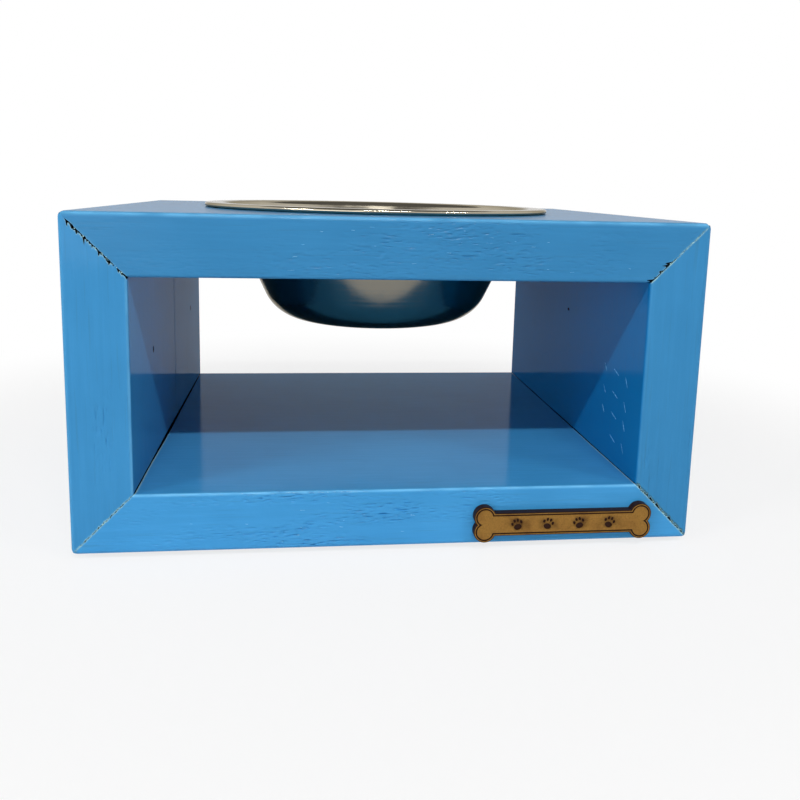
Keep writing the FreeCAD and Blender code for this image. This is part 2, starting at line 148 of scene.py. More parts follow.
class FeederBowl(bpy.types.PropertyGroup):
    """Shape and metal of the pressed bowl."""
    base_radius: length("Base radius", "Radius of the flat bottom", 29.7 * MM)
    corner_radius: length("Corner radius", "Outer radius of the corner at the bottom", 18 * MM)
    flank_angle: angle("Flank angle", "Lean of the flank from level", math.radians(65.4))
    sheet: length("Sheet", "Thickness of the metal", 0.7 * MM)
    bend_radius: length("Bend radius", "Inner radius of the bend below the flange", 2.5 * MM)
    bead_radius: length("Bead radius", "Radius of the rolled rim", 0.9 * MM)
    sides: IntProperty(name="Sides", description="Steps round the bowl", default=240, min=24)
    # Both steels carry a warm tint, a painted reflection of a warm room; the darker one is painted shade on
    # the bowl's outside under the board and the colour of its hazy patches
    steel: colour("Steel", "Polished stainless steel", (0.46, 0.415, 0.325))
    hazy_and_shaded_steel: colour("Dull steel", "Pressed steel outside, below the rim", (0.225, 0.212, 0.178))
    edge_tint: colour("Edge tint", "Tint of reflections at a low angle", (0.50, 0.475, 0.415))


class FeederPlate(bpy.types.PropertyGroup):
    """Shape and finish of the laser-cut plate."""
    lobe_radius: length("Lobe radius", "Radius of the bone's four lobes", 3.75 * MM)
    shaft_height: length("Shaft height", "Height of the bone's straight shaft", 8 * MM)
    groove_inset: length("Groove inset", "Distance of the engraved line from the outline", 0.62 * MM)
    groove_width: length("Groove width", "Width of the engraved line", 0.42 * MM)
    groove_depth: length("Groove depth", "Depth of the engraving", 0.3 * MM)
    board: colour("Board", "Face of the fibre board", (0.235, 0.120, 0.025))
    smoke: colour("Smoke", "Smoke stain on the face", (0.16, 0.068, 0.016))
    speck: colour("Speck", "Dark fibres in the face", (0.10, 0.045, 0.012))
    burnt: colour("Burnt", "Cut and engraved edges", (0.022, 0.006, 0.002))


class FeederFixings(bpy.types.PropertyGroup):
    """Nails through the corners and pads under the frame."""
    nail_length: length("Nail length", "Length of a nail with its head", 30 * MM)
    nail_radius: length("Nail radius", "Radius of the wire", 0.75 * MM)
    head_radius: length("Head radius", "Radius of a nail's head", 1.25 * MM)
    head_thickness: length("Head thickness", "Thickness of a nail's head", 1.1 * MM)
    point_length: length("Point length", "Length of a nail's point", 2.4 * MM)
    nail_spacing: length("Nail spacing", "Distance between nails in a row", 55 * MM)
    nail_set: length("Nail set", "Depth of the heads under the outer face", 0.6 * MM)
    pad_radius: length("Pad radius", "Radius of a pad", 7 * MM)
    pad_inset: length("Pad inset", "Distance of a pad's middle from the frame's sides", 17 * MM)
    zinc: colour("Zinc", "Zinc-plated wire", (0.42, 0.42, 0.43))
    dull_zinc: colour("Dull zinc", "Darker spangle in the zinc", (0.26, 0.26, 0.27))
    rubber: colour("Rubber", "Black rubber of the pads", (0.020, 0.020, 0.021))
    dust: colour("Dust", "Dust on the rubber", (0.075, 0.073, 0.07))


class FeederStage(bpy.types.PropertyGroup):
    """Camera, lamps and the white sweep."""
    camera_place: FloatVectorProperty(name="Camera", description="Place of the camera", precision=5,
                                      subtype="TRANSLATION", default=(-0.03034, -0.33710, 0.12122))
    camera_heading: angle("Heading", "Turn to the right", 0.1218)
    camera_tilt: angle("Tilt", "Tilt below level", 0.1578)
    camera_roll: angle("Roll", "Roll of the camera", 0.02465)
    camera_lens: FloatProperty(name="Lens", description="Focal length in millimetres", default=36.045)
    camera_shift: FloatProperty(name="Shift", description="Upright shift of the frame", default=-0.1062)
    sweep: colour("Sweep", "Paper of the floor and backdrop", (0.90, 0.90, 0.90))
    room: colour("Room", "Even light of the room", (0.17, 0.17, 0.17))
    key_power: watts("Key lamps", "Strips above and in front", 20.5)
    fill_power: watts("Fill lamp", "Soft lamp low at the left of the front", 2.2)
    glint_power: watts("Glint lamp", "Small lamp that glints in the bowl", 0.45)


class FeederSettings(bpy.types.PropertyGroup):
    """All settings of the feeder."""
    boards: PointerProperty(type=FeederBoards)
    bowl: PointerProperty(type=FeederBowl)
    plate: PointerProperty(type=FeederPlate)
    fixings: PointerProperty(type=FeederFixings)
    stage: PointerProperty(type=FeederStage)


# Node trees

PRINCIPLED = "ShaderNodeBsdfPrincipled"


def add_node(tree, kind, inputs=None, **settings):
    """A node with its settings. Each input, by name or number, is a value or a socket to link from."""
    node = tree.nodes.new(kind)
    for name, value in settings.items():
        setattr(node, name, value)
    for key, value in (inputs or {}).items():
        if isinstance(value, bpy.types.NodeSocket):
            tree.links.new(value, node.inputs[key])
        else:
            node.inputs[key].default_value = value
    return node


def new_material(name):
    """An empty material and its node tree."""
    material = bpy.data.materials.new(name)
    material.use_nodes = True
    material.node_tree.nodes.clear()
    return material, material.node_tree


def cover(tree, kind, inputs):
    """Put one shader on a material's surface."""
    shader = add_node(tree, kind, inputs)
    add_node(tree, "ShaderNodeOutputMaterial", {"Surface": shader.outputs[0]})


def opaque(rgb):
    """A colour with full alpha."""
    return (*rgb, 1.0)


def noise_texture(tree, vector, scale, detail=2.0, roughness=0.5):
    """Noise from 0 to 1."""
    return add_node(tree, "ShaderNodeTexNoise", {
        "Vector": vector, "Scale": scale, "Detail": detail, "Roughness": roughness}).outputs["Fac"]


def stretched(tree, vector, scale):
    """Coordinates scaled by a different number each way."""
    return add_node(tree, "ShaderNodeMapping", {"Vector": vector, "Scale": scale}).outputs["Vector"]


def ramp(tree, value, low, high, to_low=0.0, to_high=1.0):
    """The stretch from low to high, eased and clamped, spread over another range."""
    return add_node(tree, "ShaderNodeMapRange", {
        "Value": value, "From Min": low, "From Max": high, "To Min": to_low, "To Max": to_high},
        interpolation_type="SMOOTHSTEP").outputs["Result"]


def calculate(tree, operation, *values, **settings):
    """The result of a calculation with values or sockets."""
    inputs = dict(enumerate(values))
    return add_node(tree, "ShaderNodeMath", inputs, operation=operation, **settings).outputs["Value"]


def distance_from_origin(tree, vector):
    """The length of a vector."""
    return add_node(tree, "ShaderNodeVectorMath", {0: vector}, operation="LENGTH").outputs["Value"]


def mix_colours(tree, factor, *colours):
    """The first of two colours or sockets, turning to the second as the factor goes from 0 to 1."""
    first, second = [each if isinstance(each, bpy.types.NodeSocket) else opaque(each) for each in colours]
    return add_node(tree, "ShaderNodeMix", {"Factor": factor, "A": first, "B": second},
                    data_type="RGBA").outputs["Result"]


def bumps(tree, *layers):
    """A surface normal that follows bumps laid over each other: height, distance and strength of each."""
    inputs = {}
    for height, distance, strength in layers:
        inputs.update({"Height": height, "Distance": distance, "Strength": strength})
        inputs["Normal"] = add_node(tree, "ShaderNodeBump", inputs).outputs["Normal"]
    return inputs["Normal"]


def attribute(tree, name, output="Fac"):
    """A value stored on the mesh."""
    return add_node(tree, "ShaderNodeAttribute", attribute_name=name).outputs[output]


def object_place(tree):
    """Object coordinates, in metres."""
    return add_node(tree, "ShaderNodeTexCoord").outputs["Object"]


# Meshes

def new_object(name, data):
    """An object that is linked to the scene."""
    item = bpy.data.objects.new(name, data)
    bpy.context.scene.collection.objects.link(item)
    return item


def add_piece(name, mesh, body, slot, *nodes):
    """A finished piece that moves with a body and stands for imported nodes, if it has any."""
    piece = new_object(name, mesh)
    if nodes:
        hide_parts(*nodes)
    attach(piece, body)


def store(mesh, name, values):
    """Keep one number, or one vector, for each vertex."""
    if values.ndim == 1:
        mesh.attributes.new(name, "FLOAT", "POINT").data.foreach_set("value", values)
    else:
        mesh.attributes.new(name, "FLOAT_VECTOR", "POINT").data.foreach_set("vector", values.ravel())


def write_shape(shape, mesh):
    """Write an edited shape to a mesh and free it."""
    shape.to_mesh(mesh)
    shape.free()


def finish_mesh(mesh, merge, sharp, face_outwards=False):
    """Merge doubled points, face outwards where asked, and smooth every edge below an angle in degrees."""
    shape = bmesh.new()
    shape.from_mesh(mesh)
    bmesh.ops.remove_doubles(shape, verts=shape.verts, dist=merge)
    if face_outwards:
        bmesh.ops.recalc_face_normals(shape, faces=shape.faces)
    write_shape(shape, mesh)
    mesh.shade_smooth()
    mesh.set_sharp_from_angle(angle=math.radians(sharp))


def grid_lines(*stops):
    """Positions from stop to stop. Each stop is a position and the step that follows it."""
    lines = []
    for (low, step), (high, _) in zip(stops, stops[1:]):
        count = max(1, round((high - low) / step))
        lines.append(np.linspace(low, high, count, endpoint=False))
    return np.append(np.concatenate(lines), stops[-1][0])


def noise_values(*coordinates):
    """Smooth noise from -1 to 1 at many points. A plain number is the same coordinate for all of them."""
    points = np.column_stack(np.broadcast_arrays(*coordinates))
    return np.array([noise.noise(point) for point in points.tolist()])


def smooth_step(low, high, values):
    """0 below low, 1 above high, eased between."""
    share = np.clip((values - low) / (high - low), 0, 1)
    return share * share * (3 - 2 * share)


def bell(values, width):
    """1 at zero, falling off on both sides."""
    return np.exp(-(values / width) ** 2)


def arc_points(centre, radius, first, last, count):
    """Points along an arc, from one angle to another, both ends included."""
    angles = np.linspace(first, last, count)
    return np.column_stack((centre[0] + radius * np.cos(angles), centre[1] + radius * np.sin(angles)))


def at_level(flat, level):
    """Flat points, all at one height."""
    return np.column_stack((flat, np.full(len(flat), level)))


# Boards: sawn box lattices, shaped and worn in place

Stretch = namedtuple("Stretch", "start stop gap tear filler scuff", defaults=(0.0,))
End = namedtuple("End", "wear heel_gap heel_filler", defaults=(0.0,))
# Paint of a board: the tone scales its colour as painted light, lighter on the bottom and left boards and
# darker on the top; depth is the share of painted shade on the inner face; then the clear coat's weight,
# index and roughness
Paint = namedtuple("Paint", "tone depth coat index haze")
Dents = namedtuple("Dents", "middle reach share")
# Board: arrises are the strengths of the painted highlight on the outer and inner arrises
Board = namedtuple("Board", "node angle length distance ends paint arrises dents seed")

# Wear of each mitre at the front, in stretches from the inner corner (0) to the outer one (1).
# Gap and tear are in millimetres, filler and scuff are strengths from 0 to 1
TOP_LEFT_RAIL = (Stretch(0.0, 0.13, 0.2, 0.2, 0.2), Stretch(0.2, 0.87, 0.15, 0.3, 0.2),
                 Stretch(0.97, 1.1, 0.15, 0.2, 0.3))
TOP_LEFT_STILE = (Stretch(0.0, 0.14, 0.4, 1.5, 0.8), Stretch(0.2, 0.88, 0.3, 2.3, 1.0))
TOP_RIGHT_RAIL = (Stretch(0.0, 0.42, 0.25, 2.1, 0.35), Stretch(0.47, 0.92, 0.0, 0.1, 0.5),
                  Stretch(0.96, 1.1, 0.25, 0.4, 0.8))
TOP_RIGHT_STILE = (Stretch(0.0, 0.42, 0.14, 0.1, 1.0), Stretch(0.42, 0.92, 0.02, 0.05, 1.0),
                   Stretch(0.96, 1.1, 0.2, 0.3, 0.9))
BOTTOM_LEFT_RAIL = (Stretch(0.05, 0.95, 0.0, 0.3, 0.9),)
BOTTOM_LEFT_STILE = (Stretch(0.05, 0.8, 0.0, 0.6, 1.0), Stretch(0.8, 0.95, 0.0, 0.1, 0.7))
BOTTOM_RIGHT_RAIL = (Stretch(0.0, 0.95, 0.04, 0.15, 1.0),)
BOTTOM_RIGHT_STILE = (Stretch(0.0, 0.98, 0.06, 0.9, 0.5, 1.0),)
# Wear of every mitre at the back
BACK_WEAR = (Stretch(0.03, 0.97, 0.06, 0.35, 0.5),)

BOARDS = (
    Board("top_board", 0, FRAME_WIDTH, FRAME_HEIGHT / 2,
          ends=(End(TOP_LEFT_RAIL, 0.15), End(TOP_RIGHT_RAIL, 0.15)),
          paint=Paint(tone=0.97, depth=0.0, coat=0.55, index=1.3, haze=0.18),
          arrises=(0.70, 0.0), dents=Dents(20 * MM, 75 * MM, 1.0), seed=11.3),
    Board("right_board", 90, FRAME_HEIGHT, FRAME_WIDTH / 2,
          ends=(End(TOP_RIGHT_STILE, 0.15), End(BOTTOM_RIGHT_STILE, 0.35)),
          paint=Paint(tone=1.05, depth=0.9, coat=0.16, index=1.5, haze=0.07),
          arrises=(0.2, 0.1), dents=Dents(20 * MM, 12 * MM, 1.0), seed=23.7),
    Board("bottom_board", 180, FRAME_WIDTH, FRAME_HEIGHT / 2,
          ends=(End(BOTTOM_RIGHT_RAIL, 0.35, 0.9), End(BOTTOM_LEFT_RAIL, 0.7, 1.0)),
          paint=Paint(tone=1.38, depth=0.0, coat=0.25, index=1.5, haze=0.07),
          arrises=(0.1, 1.0), dents=Dents(20 * MM, 55 * MM, 1.7), seed=37.1),
    Board("left_board", 270, FRAME_HEIGHT, FRAME_WIDTH / 2,
          ends=(End(BOTTOM_LEFT_STILE, 0.8), End(TOP_LEFT_STILE, 0.25)),
          paint=Paint(tone=1.15, depth=0.3, coat=0.20, index=1.5, haze=0.07),
          arrises=(0.2, 0.6), dents=Dents(-14 * MM, 14 * MM, 1.0), seed=51.9),
)

# Reach of the wear at the mitres. Shares and pitches are parts of the board's thickness
EDGE_REACH = 2.4 * MM
GAP_DEPTH = 2.2 * MM
LIP_WIDTH = 0.42 * MM
SCUFF_WIDTH = 1.5 * MM
HEEL_WAVE = 40 * MM
HEEL_SHARE = 0.3
HEEL_LIP_SHARE = 0.02
TOOTH_PITCH = 0.03

# Length and height, in millimetres, of a dent, the drift that bends it, a ripple and a patch of dents
DENT = (2.5, 0.52)
DRIFT = (8, 4)
RIPPLE = (1.5, 0.45)
PATCH = (22, 8)
DENT_REACH = 1.2 * MM

# Other marks, and how near to a face a point counts as on it
ARRIS_WAVES = (7 * MM, 9 * MM)
GLUE_LINE = 3.4 * MM
GLUE_LINE_WIDTH = 0.16 * MM
GLUE_LINE_DEPTH = 0.25 * MM
PIT_MARGIN = 0.05 * MM
PIT_SLOPE = 0.35 * MM
PIT_CLEARANCE = 0.03 * MM
# Painted shade on the inner faces fades out over this stretch from the face
WALL_SHADE_FADE = (0.1 * MM, 0.6 * MM)
PAINT_SHIFT = 40
ON_FACE = 0.05 * MM

# Bands and steps of the boards' grids
END_BAND = 3 * MM
MITRE_BAND = 9 * MM
ARRIS_BAND = 1.6 * MM
EDGE_BAND = 5 * MM
RING_BAND = 6 * MM
PIT_BAND = 0.6 * MM
GLUE_BAND = 0.4 * MM
FINE_STEP = 0.2 * MM
MITRE_STEP = 0.5 * MM
RAIL_STEP = 0.76 * MM
STILE_STEP = 1 * MM
EDGE_STEP = 0.6 * MM
RING_STEP = 1.1 * MM
LEVEL_STEP = 0.25 * MM
GLUE_STEP = 0.1 * MM
BROAD_STEP = 5 * MM


def side_quads(counts, axis, last):
    """Quads over one side of a box lattice, as numbers of its points, facing outwards."""
    points = np.arange(np.prod(counts)).reshape(counts)
    sheet = np.take(points, -1 if last else 0, axis=axis)
    corners = (sheet[:-1, :-1], sheet[1:, :-1], sheet[1:, 1:], sheet[:-1, 1:])
    quads = np.stack(corners, axis=-1).reshape(-1, 4)
    faces_up = axis != 1
    return quads if last == faces_up else quads[:, ::-1]


def box_lattice(xs, ys, zs, axes):
    """Points and quads of a box's surface on grid lines, for the sides across the given axes."""
    counts = (len(xs), len(ys), len(zs))
    quads = np.concatenate([side_quads(counts, axis, last) for axis in axes for last in (False, True)])
    numbers, quads = np.unique(quads, return_inverse=True)
    i, j, k = np.unravel_index(numbers, counts)
    return np.column_stack((xs[i], ys[j], zs[k])), quads.reshape(-1, 4)


def ease_corner(a, b, radius):
    """Distances from two faces that meet, with the square corner between them turned into an arc."""
    p = np.clip(1 - a / radius, 0, None)
    q = np.clip(1 - b / radius, 0, None)
    inside = (p > 0) & (q > 0)
    eased_a = radius * (1 - p * np.sqrt(np.clip(1 - q * q / 2, 0, None)))
    eased_b = radius * (1 - q * np.sqrt(np.clip(1 - p * p / 2, 0, None)))
    return np.where(inside, eased_a, a), np.where(inside, eased_b, b)


def shape_board(points, board, settings):
    """Round the long edges of a sawn block, mitre its ends and round the frame's outer corners."""
    x, y, z = points.T.copy()
    half_length = board.length / 2
    side = np.sign(y)
    inset, drop = ease_corner(HALF_DEPTH - np.abs(y), -z, settings.outer_edge_radius)
    inset, rise = ease_corner(inset, BOARD_THICKNESS - drop, settings.inner_edge_radius)
    y = side * (HALF_DEPTH - inset)
    z = rise - BOARD_THICKNESS
    x = x * (half_length + z) / half_length
    end = np.sign(x)
    inset, drop = ease_corner(half_length - np.abs(x), -z, settings.corner_radius)
    return np.column_stack((end * (half_length - inset), y, -drop))


def perimeter(xs, ys):
    """The outline of a lattice's broad face, going round it once."""
    front = [(x, ys[0]) for x in xs[:-1]]
    right = [(xs[-1], y) for y in ys[:-1]]
    back = [(x, ys[-1]) for x in xs[:0:-1]]
    left = [(xs[0], y) for y in ys[:0:-1]]
    return np.array(front + right + back + left)


def hole_wall(edge):
    """The hole's wall from the upper face to the lower one: distance out of the wall, and level."""
    upper_edge = arc_points((edge, -edge), edge, math.pi / 2, math.pi, 5)
    levels = np.linspace(-edge, edge - BOARD_THICKNESS, 8)[1:-1]
    lower_edge = upper_edge[::-1] * (1, -1) - (0, BOARD_THICKNESS)
    return [*upper_edge, *((0, level) for level in levels), *lower_edge]


def pierced_faces(xs, ys, board, settings):
    """Rings from the outline of the upper face to the hole, down its wall and out to the lower outline."""
    outline = perimeter(xs, ys)
    angles = np.arctan2(outline[:, 1], outline[:, 0])
    halves = np.array((board.length / 2, HALF_DEPTH))
    insets = grid_lines((0, FINE_STEP), (ARRIS_BAND, RING_STEP), (RING_BAND, None))
    blends = np.linspace(0, 1, 9)[1:-1]

    def hole_ring(out, level):
        radius = settings.hole_radius + out
        return at_level(np.column_stack((radius * np.cos(angles), radius * np.sin(angles))), level)

    def face_ring(inset, level):
        return shape_board(at_level(outline * (1 - inset / halves), level), board, settings)

    def face_rings(level, hole):
        rims = [face_ring(inset, level) for inset in insets]
        return rims + [rims[-1] * (1 - share) + hole * share for share in blends]

    wall_rings = [hole_ring(out, level) for out, level in hole_wall(settings.hole_edge_radius)]
    upper = face_rings(0.0, wall_rings[0])
    lower = face_rings(-BOARD_THICKNESS, wall_rings[-1])
    rings = upper + wall_rings + lower[::-1]
    numbers = np.arange(len(rings) * len(outline)).reshape(len(rings), len(outline))
    following = np.roll(numbers, -1, axis=1)
    quads = np.stack((numbers[:-1], following[:-1], following[1:], numbers[1:]), axis=-1).reshape(-1, 4)
    return np.concatenate(rings), quads


def open_mitre(stretches, share, seed):
    """How far a mitre's edge is torn back, how much pale filler shows and how scuffed the paint is."""
    steps = share / TOOTH_PITCH
    coarse = noise_values(steps * 0.35, seed, 0)
    fine = noise_values(steps, seed + 5, 0)
    teeth = np.clip(0.2 + 0.9 * coarse + 1.5 * fine, 0, 1)
    specks = np.clip(0.65 + 0.8 * noise_values(steps * 0.8, seed + 9, 0), 0, 1)
    torn, pale, scuffed = np.zeros((3, len(share)))
    for stretch in stretches:
        begun = smooth_step(stretch.start - 0.02, stretch.start + 0.02, share)
        ended = smooth_step(stretch.stop - 0.03, stretch.stop + 0.03, share)
        window = begun * (1 - ended)
        torn = np.maximum(torn, window * (stretch.gap + stretch.tear * teeth) * MM)
        pale = np.maximum(pale, window * stretch.filler * specks)
        scuffed = np.maximum(scuffed, window * stretch.scuff)
    return torn, pale, scuffed


def open_heel(y, share, gap, board, sign):
    """How far a mitre gapes at the inner corner, along the depth of the frame."""
    waves = noise_values(y / HEEL_WAVE, board.seed, sign)
    along = (1 - 0.6 * (y / HALF_DEPTH) ** 2) * smooth_step(0, 2 * MM, HALF_DEPTH - np.abs(y))
    heel = gap * MM * along * np.clip(0.85 + 0.6 * waves, 0.1, 1)
    return heel * np.clip(1 - share / HEEL_SHARE, 0, 1)


def wear_end(places, to_seam, end, board, sign):
    """How far the points near one mitre move back from it, how much painted shade darkens the open joint at
    each one, and how pale and scuffed each one is.
    """
    y = places[:, 1]
    share = 1 + places[:, 2] / BOARD_THICKNESS
    beside_seam = bell(to_seam, LIP_WIDTH)
    back, pale, scuffed = np.zeros((3, len(places)))
    inside = np.ones(len(places))
    for depth, wear, seed in ((HALF_DEPTH + y, end.wear, board.seed),
                              (HALF_DEPTH - y, BACK_WEAR, board.seed + 3)):
        torn, lips, rubbed = open_mitre(wear, share, seed + sign)
        on_face = bell(depth, LIP_WIDTH)
        back += torn * bell(depth, GAP_DEPTH)
        pale += lips * on_face * beside_seam
        scuffed += rubbed * on_face * (1 - smooth_step(SCUFF_WIDTH / 2, SCUFF_WIDTH, to_seam))
        inside *= smooth_step(0.1 * MM, 0.4 * MM, depth)
    back += open_heel(y, share, end.heel_gap, board, sign)
    front_half = 1 - smooth_step(-0.6 * HALF_DEPTH, 0, y)
    pale += end.heel_filler * front_half * bell(share, HEEL_LIP_SHARE) * beside_seam
    on_seam = 1 - smooth_step(0.02 * MM, 0.12 * MM, to_seam)
    # Painted shade on the mitre faces inside the open joint
    off_faces = smooth_step(0.0, 0.01, share) * smooth_step(0.0, 0.01, 1 - share)
    return back, on_seam * inside * off_faces, np.clip(pale, 0, 1), np.clip(scuffed, 0, 1)


def wear_mitres(points, board):
    """Tear the mitred edges back. Gives the points, the painted shade in the open joints, and how pale and
    scuffed each one is.
    """
    points = points.copy()
    shade, pale, scuffed = np.zeros((3, len(points)))
    for sign, end in zip((-1, 1), board.ends):
        from_seam = board.length / 2 + points[:, 2] - sign * points[:, 0]
        near = np.flatnonzero((from_seam < EDGE_REACH) & (sign * points[:, 0] > 0))
        to_seam = np.clip(from_seam[near], 0, None)
        back, shade[near], pale[near], scuffed[near] = wear_end(points[near], to_seam, end, board, sign)
        points[near, 0] -= sign * back * np.clip(1 - to_seam / EDGE_REACH, 0, 1)
    return points, shade, pale, scuffed


def dent_edges(points, board, depth):
    """Press shallow dents along the grain into the front and back edges."""
    points = points.copy()
    from_edge = HALF_DEPTH - np.abs(points[:, 1])
    near = np.flatnonzero(from_edge < DENT_REACH)
    x, y, z = points[near].T / MM
    seed = np.where(y < 0, board.seed, board.seed + 60)

    def along_grain(size, seed_step, drift=0.0):
        return noise_values(x / size[0], seed + seed_step, z / size[1] + drift)

    dents = along_grain(DENT, 0, 0.7 * along_grain(DRIFT, 0))
    ripples = along_grain(RIPPLE, 7)
    reach = bell(points[near, 0] - board.dents.middle, board.dents.reach)
    patches = smooth_step(-0.35, 0.35, along_grain(PATCH, 13)) * reach
    press = depth * patches * (smooth_step(0.1, 0.55, dents) + 0.35 * smooth_step(0.0, 0.7, ripples))
    face = 1 - smooth_step(0.2 * MM, DENT_REACH, from_edge[near])
    points[near, 1] -= np.sign(y) * press * face
    return points


def arris_highlights(points, board, settings):
    """How strongly the painted highlight lightens the front and back arrises, from 0 to 1."""
    from_edge = HALF_DEPTH - np.abs(points[:, 1])
    faces = ((-points[:, 2], settings.outer_edge_radius),
             (BOARD_THICKNESS + points[:, 2], settings.inner_edge_radius))
    thin = np.zeros(len(points))
    for strength, (from_face, radius) in zip(board.arrises, faces):
        near = np.flatnonzero((from_edge < radius) & (from_face < radius))
        ridge = bell(from_edge[near] - from_face[near], 0.6 * radius)
        waves = noise_values(points[near, 0] / ARRIS_WAVES[0], board.seed, points[near, 1] / ARRIS_WAVES[1])
        thin[near] = strength * ridge * np.clip(0.85 + 0.6 * waves, 0, 1)
    return thin


def open_glue_line(points, shade):
    """Sink the line between a board's two planks into the inner face. Gives the points and their shade."""
    points = points.copy()
    inner = points[:, 2] < ON_FACE - BOARD_THICKNESS
    sunk = np.where(inner, bell(points[:, 1] - GLUE_LINE, GLUE_LINE_WIDTH), 0)
    points[:, 2] += sunk * GLUE_LINE_DEPTH
    return points, np.maximum(shade, 0.75 * sunk)


def is_upright(board):
    """Whether a board is one of the two at the sides."""
    return board.length == FRAME_HEIGHT


def nail_rows(fixings):
    """Places of the nails along the frame's depth."""
    return (-fixings.nail_spacing, 0.0, fixings.nail_spacing)


def press_nail_pits(points, board, fixings):
    """Sink round pits into the outer face, each over a nail and as wide as its head."""
    points = points.copy()
    outer = points[:, 2] > -ON_FACE
    radius = fixings.head_radius + PIT_MARGIN
    depth = fixings.nail_set + PIT_CLEARANCE
    nail_x = board.length / 2 - BOARD_THICKNESS / 2
    for x in (-nail_x, nail_x):
        for y in nail_rows(fixings):
            distance = np.hypot(points[:, 0] - x, points[:, 1] - y)
            sunk = depth * (1 - smooth_step(radius, radius + PIT_SLOPE, distance))
            points[:, 2] -= np.where(outer, sunk, 0)
    return points


def board_grid(board, fixings):
    """Grid lines along, across and through a board: fine at the mitres, the edges and the nail pits."""
    half = board.length / 2
    middle = [(MITRE_BAND - half, RAIL_STEP), (half - MITRE_BAND, MITRE_STEP)]
    nails = []
    if is_upright(board):
        nail_x = half - BOARD_THICKNESS / 2
        pit_reach = fixings.head_radius + PIT_BAND
        middle = [(-nail_x - pit_reach, FINE_STEP), (pit_reach - nail_x, STILE_STEP),
                  (nail_x - pit_reach, FINE_STEP), (nail_x + pit_reach, MITRE_STEP)]
        for row in nail_rows(fixings):
            nails += [(row - pit_reach, FINE_STEP), (row + pit_reach, BROAD_STEP)]
            if row == 0:
                nails += [(GLUE_LINE - GLUE_BAND, GLUE_STEP), (GLUE_LINE + GLUE_BAND, BROAD_STEP)]
    along = grid_lines((-half, FINE_STEP), (END_BAND - half, MITRE_STEP), *middle,
                       (half - END_BAND, FINE_STEP), (half, None))
    across = grid_lines((-HALF_DEPTH, FINE_STEP), (ARRIS_BAND - HALF_DEPTH, EDGE_STEP),
                        (EDGE_BAND - HALF_DEPTH, BROAD_STEP), *nails, (HALF_DEPTH - EDGE_BAND, EDGE_STEP),
                        (HALF_DEPTH - ARRIS_BAND, FINE_STEP), (HALF_DEPTH, None))
    return along, across, grid_lines((-BOARD_THICKNESS, LEVEL_STEP), (0, None))


def board_mesh(board, settings, fixings):
    """One painted board, in its place in the frame."""
    xs, ys, zs = board_grid(board, fixings)
    pierced = board.node == "top_board"
    points, quads = box_lattice(xs, ys, zs, (0, 1) if pierced else (0, 1, 2))
    points = shape_board(points, board, settings)
    if pierced:
        rings, ring_quads = pierced_faces(xs, ys, board, settings)
        quads = np.concatenate((quads, ring_quads + len(points)))
        points = np.concatenate((points, rings))
    # Painted highlight along the rounded edges
    thin = arris_highlights(points, board, settings)
    # Painted shade on the inner face of each side board, by the board's share
    wall_shade = board.paint.depth * (1 - smooth_step(*WALL_SHADE_FADE, BOARD_THICKNESS + points[:, 2]))
    points, shade, pale, scuffed = wear_mitres(points, board)
    points = dent_edges(points, board, settings.dent_depth * board.dents.share)
    if board.node == "left_board":
        points, shade = open_glue_line(points, shade)
    if is_upright(board):
        points = press_nail_pits(points, board, fixings)

    mesh = bpy.data.meshes.new(board.node)
    mesh.from_pydata(points.tolist(), [], quads.tolist())
    marks = {"joint_shade": shade, "pale_lip": pale, "scuffed": scuffed, "arris": thin, "inner_wall_shade": wall_shade,
             "board_place": points / MM + (board.seed * PAINT_SHIFT, 0, 0)}
    for name, values in marks.items():
        store(mesh, name, values)
    out = Matrix.Translation((0, 0, board.distance))
    turn = Matrix.Rotation(math.radians(board.angle), 4, "Y")
    mesh.transform(Matrix.Translation((0, 0, FRAME_MIDDLE)) @ turn @ out)
    finish_mesh(mesh, merge=0.002 * MM, sharp=50)
    return mesh


